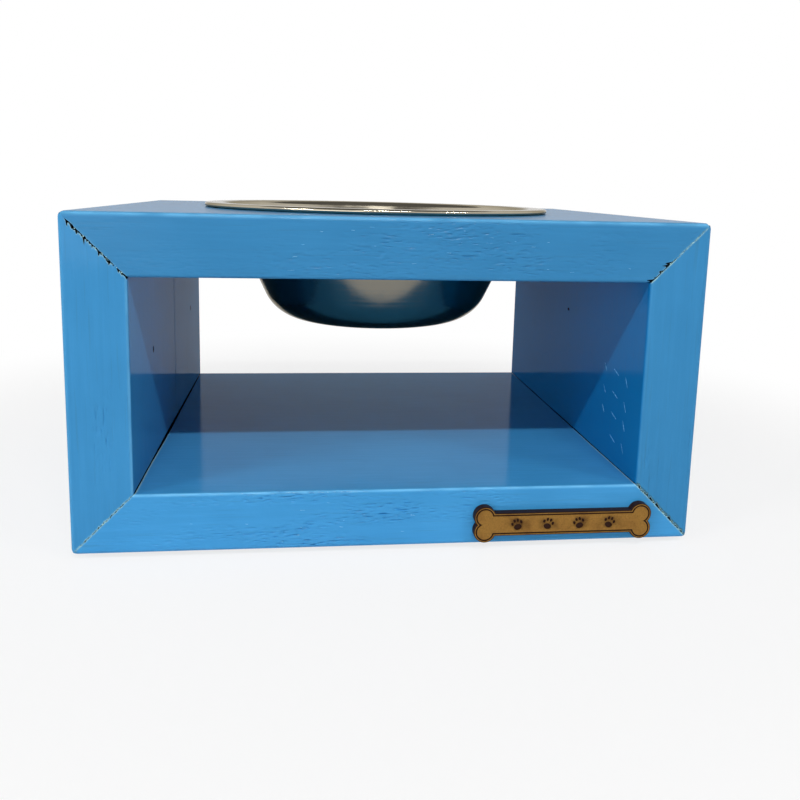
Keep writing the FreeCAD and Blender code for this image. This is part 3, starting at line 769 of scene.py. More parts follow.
def blue_gloss_paint(board, settings):
    """Brushed gloss paint over pine: streaks along the grain, slight dips, pale lips, and dark joints
    deepened by painted shade, with painted shade on the inner walls and a painted highlight on the arrises.
    """
    material, tree = new_material("blue_paint_on_" + board.node)
    place = attribute(tree, "board_place", "Vector")
    brush = noise_texture(tree, stretched(tree, place, (0.035, 0.7, 0.7)), 1.0, 4.0, 0.6)
    mottle = noise_texture(tree, place, 0.035, 3.0)
    grain = noise_texture(tree, stretched(tree, place, (0.10, 1.3, 1.3)), 1.0, 3.0)
    peel = noise_texture(tree, place, 0.8, 2.0)
    sag = noise_texture(tree, place, 0.05, 1.0)
    speck = noise_texture(tree, place, 2.2, 2.0)
    pores = noise_texture(tree, stretched(tree, place, (0.045, 1.9, 1.9)), 1.0, 1.0)

    # Tone lightens or darkens each board's whole paint as painted light
    full, worn = [[channel * board.paint.tone for channel in shade]
                  for shade in (settings.paint, settings.thin_paint)]
    streaks = ramp(tree, brush, 0.35, 0.75, 0.0, 0.3)
    patches = ramp(tree, mottle, 0.3, 0.7, 0.0, 0.3)
    rubbed = calculate(tree, "MULTIPLY", attribute(tree, "scuffed"), ramp(tree, speck, 0.35, 0.55))
    lip = calculate(tree, "MULTIPLY", attribute(tree, "pale_lip"), ramp(tree, speck, 0.25, 0.6, 0.35, 1.0))
    # Layers: brush streaks and mottle, painted shade on the inner walls, grain pores, the painted highlight
    # on the arrises, scuffs, pale filler, and painted shade in the open joints
    layers = ((calculate(tree, "ADD", streaks, patches), worn),
              (attribute(tree, "inner_wall_shade"), settings.inner_wall_shade),
              (ramp(tree, pores, 0.62, 0.74, 0.0, 0.13), settings.scuffed),
              (attribute(tree, "arris"), settings.painted_highlight),
              (rubbed, settings.scuffed),
              (lip, settings.filler),
              (attribute(tree, "joint_shade"), settings.joint_wood_and_shade))
    paint = full
    for share, layer in layers:
        paint = mix_colours(tree, share, paint, layer)

    normal = bumps(tree, (sag, 1.2 * MM, 0.06), (grain, 0.12 * MM, 0.3), (brush, 0.10 * MM, 0.25),
                   (peel, 0.05 * MM, 0.35))
    cover(tree, PRINCIPLED, {
        "Base Color": paint, "Roughness": ramp(tree, mottle, 0.3, 0.7, 0.33, 0.38), "Normal": normal,
        "Specular IOR Level": 0.0, "Coat Weight": board.paint.coat, "Coat IOR": board.paint.index,
        "Coat Roughness": board.paint.haze, "Coat Normal": normal})
    return material


class FEEDER_OT_boards(bpy.types.Operator):
    """Make the four painted boards with their worn mitres"""
    bl_idname = "feeder.boards"
    bl_label = "Painted boards"

    def execute(self, context):
        settings = context.scene.feeder.boards
        for board in BOARDS:
            mesh = board_mesh(board, settings, context.scene.feeder.fixings)
            mesh.materials.append(blue_gloss_paint(board, settings))
            add_piece("painted_" + board.node, mesh, "frame", "painted_wood", board.node)
        return {"FINISHED"}


# Turned pieces: a section spun round its axis by a node tree, and set on points

SPIN_RADIUS = 1 * MM
TURNED_TREE = "turned_on_points"


def turned_tree():
    """The node tree that spins a section and sets the turned shape on points."""
    tree = bpy.data.node_groups.new(TURNED_TREE, "GeometryNodeTree")
    sockets = {"Points": "Geometry", "Section": "Object", "Sides": "Int", "Finish": "Material"}
    for name, kind in sockets.items():
        tree.interface.new_socket(name, in_out="INPUT", socket_type="NodeSocket" + kind)
    tree.interface.new_socket("Geometry", in_out="OUTPUT", socket_type="NodeSocketGeometry")

    def stored(name):
        node = add_node(tree, "GeometryNodeInputNamedAttribute", {"Name": name}, data_type="FLOAT_VECTOR")
        return node.outputs["Attribute"]

    given = add_node(tree, "NodeGroupInput").outputs
    section = add_node(tree, "GeometryNodeObjectInfo", {"Object": given["Section"]}).outputs["Geometry"]
    profile = add_node(tree, "GeometryNodeMeshToCurve", {"Mesh": section}).outputs["Curve"]
    path = add_node(tree, "GeometryNodeCurvePrimitiveCircle", {
        "Resolution": given["Sides"], "Radius": SPIN_RADIUS}).outputs["Curve"]
    spun = add_node(tree, "GeometryNodeCurveToMesh", {"Curve": path, "Profile Curve": profile})
    closed = add_node(tree, "GeometryNodeMergeByDistance", {
        "Geometry": spun.outputs["Mesh"], "Distance": 0.001 * MM})
    turn = add_node(tree, "FunctionNodeEulerToRotation", {"Euler": stored("turn")}).outputs["Rotation"]
    placed = add_node(tree, "GeometryNodeInstanceOnPoints", {
        "Points": given["Points"], "Instance": closed.outputs["Geometry"], "Rotation": turn,
        "Scale": stored("size")}).outputs["Instances"]
    real = add_node(tree, "GeometryNodeRealizeInstances", {"Geometry": placed}).outputs["Geometry"]
    finished = add_node(tree, "GeometryNodeSetMaterial", {"Geometry": real, "Material": given["Finish"]})
    add_node(tree, "NodeGroupOutput", {"Geometry": finished.outputs["Geometry"]})
    return tree


def helper_object(name, points, edges=()):
    """A plain mesh object that a node tree reads, deleted once the tree has run."""
    mesh = bpy.data.meshes.new(name)
    mesh.from_pydata(points, edges, [])
    return new_object(name, mesh)


def run_tree(name, tree, carrier, inputs):
    """The plain mesh that a node tree makes from a carrier object, with its inputs given by name."""
    modifier = carrier.modifiers.new(name, "NODES")
    modifier.node_group = tree
    sockets = [item for item in tree.interface.items_tree if item.in_out == "INPUT"]
    identifiers = {socket.name: socket.identifier for socket in sockets}
    for key, value in inputs.items():
        modifier[identifiers[key]] = value
    bpy.context.view_layer.update()
    graph = bpy.context.evaluated_depsgraph_get()
    mesh = bpy.data.meshes.new_from_object(carrier.evaluated_get(graph))
    mesh.name = name
    carrier.modifiers.remove(modifier)
    return mesh


def turned_mesh(name, section, sides, finish, places, turns=None, sizes=None):
    """A mesh of turned shapes, each turned and sized. The section is a line of (radius, height) points."""
    line = [(radius - SPIN_RADIUS, -height, 0) for radius, height in section]
    edges = [(step, step + 1) for step in range(len(line) - 1)]
    profile = helper_object(name + "_section", line, edges)
    carrier = helper_object(name + "_points", places)
    store(carrier.data, "turn", np.array(turns or [(0, 0, 0)] * len(places), dtype=float))
    store(carrier.data, "size", np.array(sizes or [(1, 1, 1)] * len(places), dtype=float))
    tree = bpy.data.node_groups.get(TURNED_TREE) or turned_tree()
    mesh = run_tree(name, tree, carrier, {"Section": profile, "Sides": sides, "Finish": finish})
    for helper in (profile, carrier):
        bpy.data.objects.remove(helper)
    finish_mesh(mesh, merge=0.001 * MM, sharp=40, face_outwards=True)
    return mesh


# Bowl

RIM_DEPTH = 2.5 * MM


def bowl_section(settings):
    """Half section of the pressed bowl, from the middle of its underside over the rim to its inside."""
    corner = settings.corner_radius
    bend = settings.bend_radius
    sheet = settings.sheet
    bead = settings.bead_radius
    lean = math.pi / 2 - settings.flank_angle
    out = np.array((math.cos(lean), -math.sin(lean)))
    upward = np.array((math.sin(lean), math.cos(lean)))
    bead_centre = np.array((RIM_RADIUS - bead, BOWL_TOP - bead))
    flange_under = bead_centre[1] + bead - sheet
    corner_centre = np.array((settings.base_radius, BOWL_BASE + corner))
    flank_start = corner_centre + out * corner
    run = (flange_under - bend + bend * math.sin(lean) - flank_start[1]) / upward[1]
    bend_centre = flank_start + upward * run + out * bend
    bead_start = math.pi - math.asin((flange_under - bead_centre[1]) / bead)

    def wall(base_level, corner_radius, bend_radius):
        base = [(settings.base_radius * share, base_level) for share in np.linspace(0, 1, 12)[:-1]]
        corner_arc = arc_points(corner_centre, corner_radius, -math.pi / 2, -lean, 24)
        bend_arc = arc_points(bend_centre, bend_radius, math.pi - lean, math.pi / 2, 14)
        flank_run = bend_arc[0] - corner_arc[-1]
        flank = [corner_arc[-1] + flank_run * share for share in np.linspace(0, 1, 14)[1:-1]]
        return [*base, *corner_arc, *flank, *bend_arc]

    outer = wall(BOWL_BASE, corner, bend)
    inner = wall(BOWL_BASE + sheet, corner - sheet, bend + sheet)
    rim = arc_points(bead_centre, bead, bead_start, 2.5 * math.pi, 22)
    return [*outer, *rim, *inner[::-1]]


def mark_outside(mesh):
    """Note which points of the bowl lie on its outside, below the rim."""
    places, normals = np.empty((2, len(mesh.vertices) * 3))
    mesh.vertices.foreach_get("co", places)
    mesh.vertices.foreach_get("normal", normals)
    places, normals = places.reshape(-1, 3), normals.reshape(-1, 3)
    flat = places[:, :2]
    outwards = (flat * normals[:, :2]).sum(axis=1) / np.maximum(np.hypot(*flat.T), MM)
    below_rim = places[:, 2] < BOWL_TOP - RIM_DEPTH
    store(mesh, "outside", ((outwards > normals[:, 2]) & below_rim).astype(float))


def polished_steel(settings):
    """Stainless steel, tinted warm as a painted reflection: polished inside and on the rim, darker outside
    as painted shade under the board and a little rougher, with fine rings, haze and smears.
    """
    material, tree = new_material("polished_steel")
    place = object_place(tree)
    radius = distance_from_origin(tree, stretched(tree, place, (1, 1, 0)))
    rings = add_node(tree, "ShaderNodeTexNoise", {"W": radius, "Scale": 2600.0, "Detail": 3.0},
                     noise_dimensions="1D").outputs["Fac"]
    haze = noise_texture(tree, place, 38.0, 3.0)
    smears = noise_texture(tree, stretched(tree, place, (90, 90, 25)), 1.0, 4.0, 0.65)
    outside = attribute(tree, "outside")
    # Painted shade: the outside below the rim turns to the darker steel
    tint = mix_colours(tree, outside, settings.steel, settings.hazy_and_shaded_steel)
    tint = mix_colours(tree, ramp(tree, haze, 0.35, 0.7, 0.0, 0.2), tint, settings.hazy_and_shaded_steel)
    ring_gloss = ramp(tree, rings, 0.3, 0.7, 0.09, 0.15)
    smear_gloss = ramp(tree, smears, 0.5, 0.75, 0.0, 0.08)
    gloss = calculate(tree, "ADD", ring_gloss, smear_gloss)
    cover(tree, PRINCIPLED, {
        "Base Color": tint, "Metallic": 1.0, "Specular Tint": opaque(settings.edge_tint),
        "Roughness": calculate(tree, "MULTIPLY_ADD", outside, 0.02, gloss),
        "Normal": bumps(tree, (rings, 0.01 * MM, 0.12), (haze, 0.4 * MM, 0.12))})
    return material


class FEEDER_OT_bowl(bpy.types.Operator):
    """Spin the pressed steel bowl"""
    bl_idname = "feeder.bowl"
    bl_label = "Steel bowl"

    def execute(self, context):
        settings = context.scene.feeder.bowl
        finish = polished_steel(settings)
        mesh = turned_mesh("steel_bowl", bowl_section(settings), settings.sides, finish, [(0, 0, 0)])
        mark_outside(mesh)
        add_piece("steel_bowl", mesh, "bowl", "bowl_steel", "bowl")
        return {"FINISHED"}


# Plate: a bone cut from fibre board, with an engraved line inside its outline and a trail of paw prints

# Paw prints, in millimetres and degrees: an oval is its centre and its two radii
PAW_PLACES = (-16.2, -5.4, 5.4, 16.2)
PAW_TILT = 16.0
PAW_HEEL = ((0, -1.0), (1.35, 1.05))
PAW_TOES = [(centre, (0.46, 0.62)) for centre in ((-1.55, 0.45), (-0.58, 1.35), (0.58, 1.35), (1.55, 0.45))]
PAW_WALL = 0.09
MOUTH_BURN = 0.45
FLOOR_BURN = 0.9
GROOVE_WALL = 0.06 * MM


def bone_outline(inset, settings):
    """The bone's outline, moved inwards by an inset: four lobes joined by a straight shaft."""
    lobe_x = PLATE_LENGTH / 2 - settings.lobe_radius
    lobe_y = PLATE_HEIGHT / 2 - settings.lobe_radius
    radius = settings.lobe_radius - inset
    shaft = settings.shaft_height / 2 - inset
    notch = math.asin(lobe_y / radius)
    neck = math.asin((shaft - lobe_y) / radius)
    lobe = arc_points((lobe_x, lobe_y), radius, -notch, math.pi - neck, 26)
    neck_x = lobe[-1][0]
    shaft_line = [(x, shaft) for x in np.linspace(neck_x, -neck_x, 22)[1:-1]]
    upper = [*lobe, *shaft_line, *(lobe[::-1] * (-1, 1))]
    lower = np.array(upper)[::-1] * (1, -1)
    return np.array(upper + lower[1:-1].tolist())


def plate_section(settings):
    """Rings round the plate from its back over its edge and the engraved line: inset, depth and burn."""
    near = settings.groove_inset
    far = near + settings.groove_width
    floor = settings.groove_depth
    edge = ((0.0, PLATE_THICKNESS, 1.0), (0.0, PLATE_THICKNESS / 2, 0.95), (0.0, 0.14 * MM, 1.0))
    margin = ((0.1 * MM, 0.0, 0.95), (0.3 * MM, 0.0, 0.45), (0.45 * MM, 0.0, 0.12))
    groove = ((near - GROOVE_WALL, 0.0, 0.25), (near, floor, 1.0), (far, floor, 1.0),
              (far + GROOVE_WALL, 0.0, 0.25), (far + 0.16 * MM, 0.0, 0.0))
    return edge + margin + groove


def paw_loops(inset):
    """Outlines of the paw prints' heels and toes, moved inwards by an inset in millimetres."""
    loops = []
    for place, tilt in zip(PAW_PLACES, (PAW_TILT, -PAW_TILT) * 2):
        turn = np.array(Matrix.Rotation(math.radians(tilt), 2))
        for centre, radii in (PAW_HEEL, *PAW_TOES):
            ring = arc_points((0, 0), 1.0, 0, 2 * math.pi, 21)[:-1] * (np.array(radii) - inset)
            loops.append(((ring + centre) @ turn.T + (place, 0)) * MM)
    return loops


def join_rings(shape, first, second):
    """Quads between two rings. Gives the edges of the second one."""
    edges = []
    for step in range(len(first)):
        following = (step + 1) % len(first)
        shape.faces.new((first[step], first[following], second[following], second[step]))
        edges.append(shape.edges.get((second[step], second[following])))
    return edges


def plate_mesh(settings):
    """The engraved bone plate about its own middle, face to the front, and how burnt each point is."""
    shape = bmesh.new()
    burn_layer = shape.verts.layers.float.new("burn")

    def add_ring(outline, depth, burn):
        ring = [shape.verts.new((x, depth, z)) for x, z in outline]
        for vertex in ring:
            vertex[burn_layer] = burn
        return ring

    rings = [add_ring(bone_outline(inset, settings), depth, burn)
             for inset, depth, burn in plate_section(settings)]
    back = shape.faces.new(rings[0])
    for first, second in zip(rings, rings[1:]):
        face_edges = join_rings(shape, first, second)
    for wide, narrow in zip(paw_loops(0.0), paw_loops(PAW_WALL)):
        mouth = add_ring(wide, 0.0, MOUTH_BURN)
        floor = add_ring(narrow, settings.groove_depth, FLOOR_BURN)
        join_rings(shape, mouth, floor)
        shape.faces.new(floor)
        face_edges += [shape.edges.get(pair) for pair in zip(mouth, mouth[1:] + mouth[:1])]
    bmesh.ops.triangle_fill(shape, use_beauty=True, edges=face_edges)
    bmesh.ops.triangulate(shape, faces=[back])
    bmesh.ops.recalc_face_normals(shape, faces=shape.faces)
    mesh = bpy.data.meshes.new("bone_plate")
    write_shape(shape, mesh)
    return mesh


def laser_cut_board(settings):
    """Fibre board: golden face with fine fibres, dark where the laser burnt it."""
    material, tree = new_material("laser_cut_board")
    place = object_place(tree)
    fibres = noise_texture(tree, place, 1400.0, 4.0, 0.7)
    cloud = noise_texture(tree, place, 160.0, 3.0)
    specks = noise_texture(tree, place, 2600.0, 1.0)
    pale = [min(1.0, channel * 1.32) for channel in settings.board]
    face = mix_colours(tree, ramp(tree, fibres, 0.3, 0.7), settings.board, pale)
    face = mix_colours(tree, ramp(tree, cloud, 0.45, 0.75, 0.0, 0.5), face, settings.smoke)
    face = mix_colours(tree, ramp(tree, specks, 0.66, 0.74, 0.0, 0.6), face, settings.speck)
    uneven = ramp(tree, cloud, 0.2, 0.8, -0.12, 0.16)
    scorch = calculate(tree, "ADD", attribute(tree, "burn"), uneven, use_clamp=True)
    face = mix_colours(tree, ramp(tree, scorch, 0.12, 0.85), face, settings.burnt)
    cover(tree, PRINCIPLED, {
        "Base Color": face, "Roughness": ramp(tree, scorch, 0.2, 0.9, 0.62, 0.42),
        "Normal": bumps(tree, (fibres, 0.04 * MM, 0.4)), "Specular IOR Level": 0.12})
    return material


class FEEDER_OT_plate(bpy.types.Operator):
    """Cut and engrave the bone-shaped plate on the front edge"""
    bl_idname = "feeder.plate"
    bl_label = "Bone plate"

    def execute(self, context):
        settings = context.scene.feeder.plate
        mesh = plate_mesh(settings)
        middle = (Vector(PLATE_LOW) + Vector(PLATE_HIGH)) / 2
        mesh.transform(Matrix.Translation((middle.x, PLATE_LOW[1], middle.z)))
        mesh.materials.append(laser_cut_board(settings))
        add_piece("bone_plate", mesh, "frame", "plaque_board", "front_plaque")
        return {"FINISHED"}


# Nails and pads

NAIL_SIDES = 20
PAD_SIDES = 48
HEAD_EASE = 0.14 * MM
# Grip rings under a nail's head: number, distance of the first, pitch, depth and height
GRIP_RINGS = 4
GRIP_START = 0.8 * MM
GRIP_PITCH = 0.7 * MM
GRIP_DEPTH = 0.08 * MM
GRIP_HEIGHT = 0.3 * MM
# Rounding, chamfer and groove of a pad
PAD_EASE = 0.6 * MM
PAD_CHAMFER = 0.15 * MM
TREAD_GROOVE = 0.3 * MM


def zinc_wire(settings, paint):
    """Dull zinc plate with smears of the frame's paint."""
    material, tree = new_material("zinc_wire")
    place = object_place(tree)
    spangle = noise_texture(tree, place, 900.0, 3.0)
    smear = noise_texture(tree, place, 420.0, 4.0, 0.6)
    metal = mix_colours(tree, ramp(tree, spangle, 0.3, 0.7), settings.zinc, settings.dull_zinc)
    cover(tree, PRINCIPLED, {
        "Base Color": mix_colours(tree, ramp(tree, smear, 0.44, 0.5), metal, paint),
        "Metallic": ramp(tree, smear, 0.44, 0.5, 1.0, 0.0),
        "Roughness": ramp(tree, spangle, 0.3, 0.7, 0.34, 0.55),
        "Normal": bumps(tree, (smear, 0.1 * MM, 0.5))})
    return material


def nail_section(settings):
    """Half section of a nail that hangs from its head: eased head, grip rings, wire and point."""
    head, wire = settings.head_radius, settings.nail_radius
    under_head = -settings.head_thickness
    rings = []
    for ring in range(GRIP_RINGS):
        level = under_head - (GRIP_START + GRIP_PITCH * ring)
        rings += [(wire, level), (wire - GRIP_DEPTH, level - GRIP_HEIGHT / 2), (wire, level - GRIP_HEIGHT)]
    point = [(wire, settings.point_length - settings.nail_length), (0, -settings.nail_length)]
    return [(0, 0), (head - HEAD_EASE, 0), (head, -HEAD_EASE), (head, under_head + HEAD_EASE),
            (head - HEAD_EASE, under_head), (wire, under_head), *rings, *point]


class FEEDER_OT_nails(bpy.types.Operator):
    """Set the nails through the corners, heads just under the outer faces"""
    bl_idname = "feeder.nails"
    bl_label = "Nails"

    def execute(self, context):
        settings = context.scene.feeder.fixings
        head_x = FRAME_WIDTH / 2 - settings.nail_set
        levels = (FRAME_BASE + BOARD_THICKNESS / 2, FRAME_BASE + FRAME_HEIGHT - BOARD_THICKNESS / 2)
        nails = [(side, row, level) for side in (-1, 1) for row in nail_rows(settings) for level in levels]
        places = [(side * head_x, row, level) for side, row, level in nails]
        turns = [(0, side * math.pi / 2, 0) for side, _, _ in nails]
        finish = zinc_wire(settings, context.scene.feeder.boards.paint)
        mesh = turned_mesh("wire_nails", nail_section(settings), NAIL_SIDES, finish, places, turns)
        add_piece("wire_nails", mesh, "frame", "nail_steel", "nails_top_left", "nails_top_right",
                  "nails_bottom_left", "nails_bottom_right")
        return {"FINISHED"}


def black_rubber(settings):
    """Moulded rubber, a little dusty."""
    material, tree = new_material("black_rubber")
    place = object_place(tree)
    fine = noise_texture(tree, place, 1800.0, 3.0)
    dust = noise_texture(tree, place, 240.0, 4.0, 0.6)
    dusty = ramp(tree, dust, 0.45, 0.8, 0.0, 0.5)
    cover(tree, PRINCIPLED, {
        "Base Color": mix_colours(tree, dusty, settings.rubber, settings.dust),
        "Roughness": ramp(tree, fine, 0.3, 0.7, 0.6, 0.8), "Normal": bumps(tree, (fine, 0.05 * MM, 0.4))})
    return material


def pad_section(settings):
    """Half section of a pad: a ring groove in the tread, and eased edges."""
    radius = settings.pad_radius
    tread = [(0, 0), (0.55 * radius, 0), (0.58 * radius, TREAD_GROOVE), (0.66 * radius, TREAD_GROOVE),
             (0.69 * radius, 0)]
    edge = arc_points((radius - PAD_EASE, PAD_EASE), PAD_EASE, -math.pi / 2, 0, 7)
    top = [(radius, PAD_HEIGHT - PAD_CHAMFER), (radius - PAD_CHAMFER, PAD_HEIGHT), (0, PAD_HEIGHT)]
    return [*tread, *edge, *top]


class FEEDER_OT_pads(bpy.types.Operator):
    """Stick the four rubber pads under the frame"""
    bl_idname = "feeder.pads"
    bl_label = "Rubber pads"

    def execute(self, context):
        settings = context.scene.feeder.fixings
        x = FRAME_WIDTH / 2 - settings.pad_inset
        y = HALF_DEPTH - settings.pad_inset
        places = [(side * x, depth * y, 0) for side in (-1, 1) for depth in (-1, 1)]
        finish = black_rubber(settings)
        mesh = turned_mesh("rubber_pads", pad_section(settings), PAD_SIDES, finish, places)
        add_piece("rubber_pads", mesh, "frame", "foot_rubber", "foot_front_left", "foot_front_right",
                  "foot_back_left", "foot_back_right")
        return {"FINISHED"}


# Flaws in the paint: ridges on the right wall with a painted highlight, pits in both walls as dark lenses
# of painted shade, nibs on the rails as painted glints, crumbs at the mitres

Flaw = namedtuple("Flaw", "place turn size")

# Columns of ridges, paler blue as a painted highlight: distance behind the middle, heights, lean from level
# in degrees and half length
RIDGE_COLUMNS = ((-51, (56, 47.5, 39.7), 50, 1.9), (-61.5, (56.2, 47.7, 39.8, 31), 17, 2.9),
                 (-71, (54.6, 45.5, 38.6, 30.1), 58, 2.2))
RIDGE_HALF_WIDTH = 0.26
# Pits, drawn as dark lenses of painted shade: side, distance behind the middle, height, half length and
# half width
PITS = ((-1, -44.7, 61.4, 1.3, 0.9), (-1, 51.8, 61.8, 1.3, 0.9), (1, -4.4, 70.9, 0.6, 1.3))
# Nibs on the rails, pale as painted glints, the last row along the bottom board's inner edge: top (1) or
# bottom (-1), number, stretch from left to right, and shares of the thickness
NIB_ROWS = ((1, 20, -45, 82, -0.36, 0.36), (-1, 10, -68, 28, -0.36, 0.36), (-1, 14, -36, -15, 0.470, 0.485))
NIB_SINK = 0.08 * MM
# Crumbs on each mitre: side, top (1) or bottom (-1), number, and the stretch from the inner corner outwards
CRUMB_ROWS = ((-1, -1, 70, 0.03, 0.93), (1, -1, 90, 0.0, 0.97), (-1, 1, 26, 0.05, 0.85),
              (1, 1, 40, 0.1, 0.93))
CRUMB_SINK = 0.03 * MM
CRUMB_STRAY = 0.16 * MM


def wall_flaw(side, y, z, half_length, half_width, lean):
    """A thin lens on an inner wall, leaning from level by an angle in degrees."""
    wall = side * (FRAME_WIDTH / 2 - BOARD_THICKNESS)
    return Flaw((wall, y * MM, z * MM), (math.radians(lean), 0, 0), (0.06, half_length, half_width))


def rail_nibs(draw):
    """Nibs scattered over the front of the top and bottom boards, drawn out along the grain."""
    nibs = []
    for level, count, start, stop, low, high in NIB_ROWS:
        middle = FRAME_MIDDLE + level * (FRAME_HEIGHT - BOARD_THICKNESS) / 2
        for x in draw.uniform(start, stop, count) * MM:
            z = middle + draw.uniform(low, high) * BOARD_THICKNESS
            size = (draw.uniform(0.25, 1.3), 0.14, draw.uniform(0.03, 0.065))
            nibs.append(Flaw((x, NIB_SINK - HALF_DEPTH, z), (0, draw.normal(0, 0.08), 0), size))
    return nibs


def mitre_crumbs(draw):
    """Crumbs scattered along the four mitres of the front."""
    crumbs = []
    inner_x = FRAME_WIDTH / 2 - BOARD_THICKNESS
    inner_z = FRAME_HEIGHT / 2 - BOARD_THICKNESS
    for side, level, count, start, stop in CRUMB_ROWS:
        for share in draw.uniform(start, stop, count):
            stray_x, stray_z = draw.normal(0, CRUMB_STRAY, 2)
            x = side * (inner_x + share * BOARD_THICKNESS) + stray_x
            z = level * (inner_z + share * BOARD_THICKNESS) + stray_z + FRAME_MIDDLE
            size = draw.uniform(0.07, 0.2) * draw.uniform(0.6, 1.4, 3)
            crumbs.append(Flaw((x, CRUMB_SINK - HALF_DEPTH, z), draw.uniform(0, math.pi, 3), size))
    return crumbs


def mottled_paint(name, first, second, roughness, shine, scale=1200.0, change=(0.35, 0.65)):
    """Paint that varies between two colours and between two roughnesses."""
    material, tree = new_material(name)
    patches = noise_texture(tree, object_place(tree), scale, 2.0)
    cover(tree, PRINCIPLED, {
        "Base Color": mix_colours(tree, ramp(tree, patches, *change), first, second),
        "Roughness": ramp(tree, patches, 0.3, 0.7, *roughness), "Specular IOR Level": shine})
    return material


def add_flaws(name, flaws, finish, sides, steps):
    """One piece of small turned lenses of one finish, each sized from a ball of one millimetre radius."""
    ball = arc_points((0, 0), 1 * MM, -math.pi / 2, math.pi / 2, steps)
    mesh = turned_mesh(name, ball, sides, finish, *zip(*flaws))
    add_piece(name, mesh, "frame", "painted_wood")


class FEEDER_OT_flaws(bpy.types.Operator):
    """Add the ridges with a painted highlight, the pits as dark lenses of painted shade, the nibs as
    painted glints, and the crumbs of filler
    """
    bl_idname = "feeder.flaws"
    bl_label = "Flaws in the paint"

    def execute(self, context):
        colours = context.scene.feeder.boards
        ridges = [wall_flaw(1, y, z, half_length, RIDGE_HALF_WIDTH, lean)
                  for y, levels, lean, half_length in RIDGE_COLUMNS for z in levels]
        pits = [wall_flaw(*pit, 90) for pit in PITS]
        nibs = rail_nibs(np.random.default_rng(3))
        crumbs = mitre_crumbs(np.random.default_rng(7))
        # Ridges: thin paint turning to the painted highlight colour
        pale = mottled_paint("ridge_paint_and_highlight", colours.thin_paint, colours.painted_highlight, (0.3, 0.45), shine=0.0)
        dark = mottled_paint("painted_pit_shade", colours.pit, colours.pit_edge, (0.5, 0.65), shine=0.0)
        bright = mottled_paint("painted_nib_glint", colours.painted_highlight, colours.nib_glint, (0.2, 0.35), shine=0.15)
        chalky = mottled_paint("filler_crumb", colours.scuffed, colours.filler, (0.6, 0.85), shine=0.2,
                               scale=900.0, change=(0.42, 0.58))
        add_flaws("paint_ridges", ridges, pale, sides=10, steps=9)
        add_flaws("paint_pits", pits, dark, sides=12, steps=9)
        add_flaws("paint_nibs", nibs, bright, sides=8, steps=7)
        add_flaws("filler_crumbs", crumbs, chalky, sides=6, steps=5)
        return {"FINISHED"}


# Stage, in metres

FLOOR_RADIUS = 1.6
COVE_RADIUS = 0.6
WALL_TOP = 2.4
SWEEP_SIDES = 96
WHITE_FROM = 0.17
WHITE_TO = 0.34
NEAR_WHITE = 0.78
# Key lamps in one row: place across, width and share of the power, then the row's depth and height
KEY_LAMPS = ((-1.45, 0.9, 0.53), (0.05, 0.5, 0.25), (1.05, 0.5, 0.22))
KEY_PLACE = (-0.85, 0.92)
KEY_THICKNESS = 0.03
# Other lamps: place, and width and height
GLINT_LAMP = ((-0.14, -0.85, 1.10), (0.42, 0.10))
FILL_LAMP = ((-0.55, -0.95, 0.18), (0.7, 0.5))


def white_paper(settings):
    """Paper that takes the shadow near the feeder and is plain white further off."""
    material, tree = new_material("white_paper")
    place = object_place(tree)
    tooth = noise_texture(tree, place, 400.0, 2.0)
    paper = add_node(tree, "ShaderNodeBsdfDiffuse", {
        "Color": opaque(settings.sweep), "Normal": bumps(tree, (tooth, 0.05 * MM, 0.1))}).outputs["BSDF"]
    white = add_node(tree, "ShaderNodeEmission", {"Strength": 1.0}).outputs["Emission"]
    path = add_node(tree, "ShaderNodeLightPath").outputs
    seen = calculate(tree, "MAXIMUM", path["Is Camera Ray"], path["Is Glossy Ray"])
    seen = calculate(tree, "MAXIMUM", seen, path["Is Transmission Ray"])
    whiteness = ramp(tree, distance_from_origin(tree, place), WHITE_FROM, WHITE_TO, NEAR_WHITE, 1.0)
    share = calculate(tree, "MULTIPLY", whiteness, seen)
    cover(tree, "ShaderNodeMixShader", {0: share, 1: paper, 2: white})
    return material


def sweep_mesh():
    """A round sheet of paper that bends up into a wall all round."""
    cove = arc_points((FLOOR_RADIUS, COVE_RADIUS), COVE_RADIUS, -math.pi / 2, 0, 13)
    angles = np.linspace(0, 2 * math.pi, SWEEP_SIDES, endpoint=False)
    circle = np.column_stack((np.cos(angles), np.sin(angles)))
    shape = bmesh.new()
    rings = [[shape.verts.new(point) for point in at_level(circle * radius, height)]
             for radius, height in (*cove, (FLOOR_RADIUS + COVE_RADIUS, WALL_TOP))]
    shape.faces.new(rings[0])
    for lower, upper in zip(rings, rings[1:]):
        join_rings(shape, upper, lower)
    mesh = bpy.data.meshes.new("paper_sweep")
    write_shape(shape, mesh)
    mesh.shade_smooth()
    return mesh


def add_lamp(name, place, target, size, power):
    """A soft lamp of a width and a height, aimed at a point."""
    light = bpy.data.lights.new(name, "AREA")
    light.shape = "RECTANGLE"
    light.size, light.size_y = size
    light.energy = power
    lamp = new_object(name, light)
    lamp.location = place
    lamp.rotation_euler = (Vector(target) - Vector(place)).to_track_quat("-Z", "Y").to_euler()


def add_camera(settings):
    """The camera at the photograph's place."""
    lens = bpy.data.cameras.new("camera")
    lens.lens = settings.camera_lens
    lens.shift_y = settings.camera_shift
    lens.clip_start = 0.01
    camera = new_object("camera", lens)
    heading = Matrix.Rotation(-settings.camera_heading, 4, "Z")
    tilt = Matrix.Rotation(math.pi / 2 - settings.camera_tilt, 4, "X")
    roll = Matrix.Rotation(settings.camera_roll, 4, "Z")
    camera.matrix_world = Matrix.Translation(settings.camera_place) @ heading @ tilt @ roll
    bpy.context.scene.camera = camera


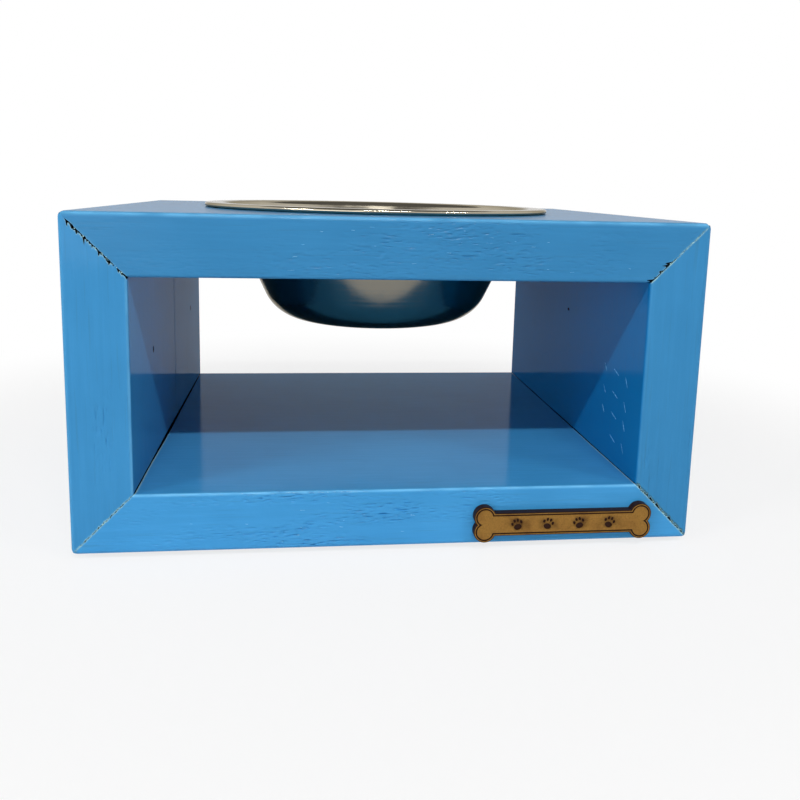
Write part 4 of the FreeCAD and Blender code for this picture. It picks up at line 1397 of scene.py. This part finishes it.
class FEEDER_OT_stage(bpy.types.Operator):
    """Set the paper sweep, the lamps, the room's light and the camera"""
    bl_idname = "feeder.stage"
    bl_label = "Stage"

    def execute(self, context):
        settings = context.scene.feeder.stage
        sheet = sweep_mesh()
        sheet.materials.append(white_paper(settings))
        sweep = new_object("paper_sweep", sheet)
        target_height = FRAME_HEIGHT / 2
        for x, width, share in KEY_LAMPS:
            add_lamp("key_lamp", (x, *KEY_PLACE), (x, 0, target_height), (width, KEY_THICKNESS),
                     settings.key_power * share)
        for name, (place, size), power in (("glint_lamp", GLINT_LAMP, settings.glint_power),
                                           ("fill_lamp", FILL_LAMP, settings.fill_power)):
            add_lamp(name, place, (0, 0, target_height), size, power)
        add_camera(settings)
        world = bpy.data.worlds.new("room")
        world.use_nodes = True
        world.node_tree.nodes["Background"].inputs["Color"].default_value = opaque(settings.room)
        context.scene.world = world
        context.scene.view_settings.view_transform = "Standard"
        return {"FINISHED"}


# Panel and registration

OPERATORS = (FEEDER_OT_boards, FEEDER_OT_bowl, FEEDER_OT_plate, FEEDER_OT_nails, FEEDER_OT_pads,
             FEEDER_OT_flaws, FEEDER_OT_stage)


class FEEDER_PT_panel(bpy.types.Panel):
    """Lists the steps that build the feeder"""
    bl_idname = "FEEDER_PT_panel"
    bl_label = "Raised pet feeder"
    bl_space_type = "VIEW_3D"
    bl_region_type = "UI"
    bl_category = "Feeder"

    def draw(self, context):
        for operator in OPERATORS:
            self.layout.operator(operator.bl_idname)


CLASSES = (FeederBoards, FeederBowl, FeederPlate, FeederFixings, FeederStage, FeederSettings, *OPERATORS,
           FEEDER_PT_panel)


def register():
    """Add the classes and the scene's settings."""
    for each in CLASSES:
        bpy.utils.register_class(each)
    bpy.types.Scene.feeder = PointerProperty(type=FeederSettings)


def unregister():
    """Take the settings and the classes away again."""
    del bpy.types.Scene.feeder
    for each in reversed(CLASSES):
        bpy.utils.unregister_class(each)


def main():
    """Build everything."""
    register()
    bpy.ops.feeder.boards()
    bpy.ops.feeder.bowl()
    bpy.ops.feeder.plate()
    bpy.ops.feeder.nails()
    bpy.ops.feeder.pads()
    bpy.ops.feeder.flaws()
    bpy.ops.feeder.stage()


if __name__ == "__main__":
    main()
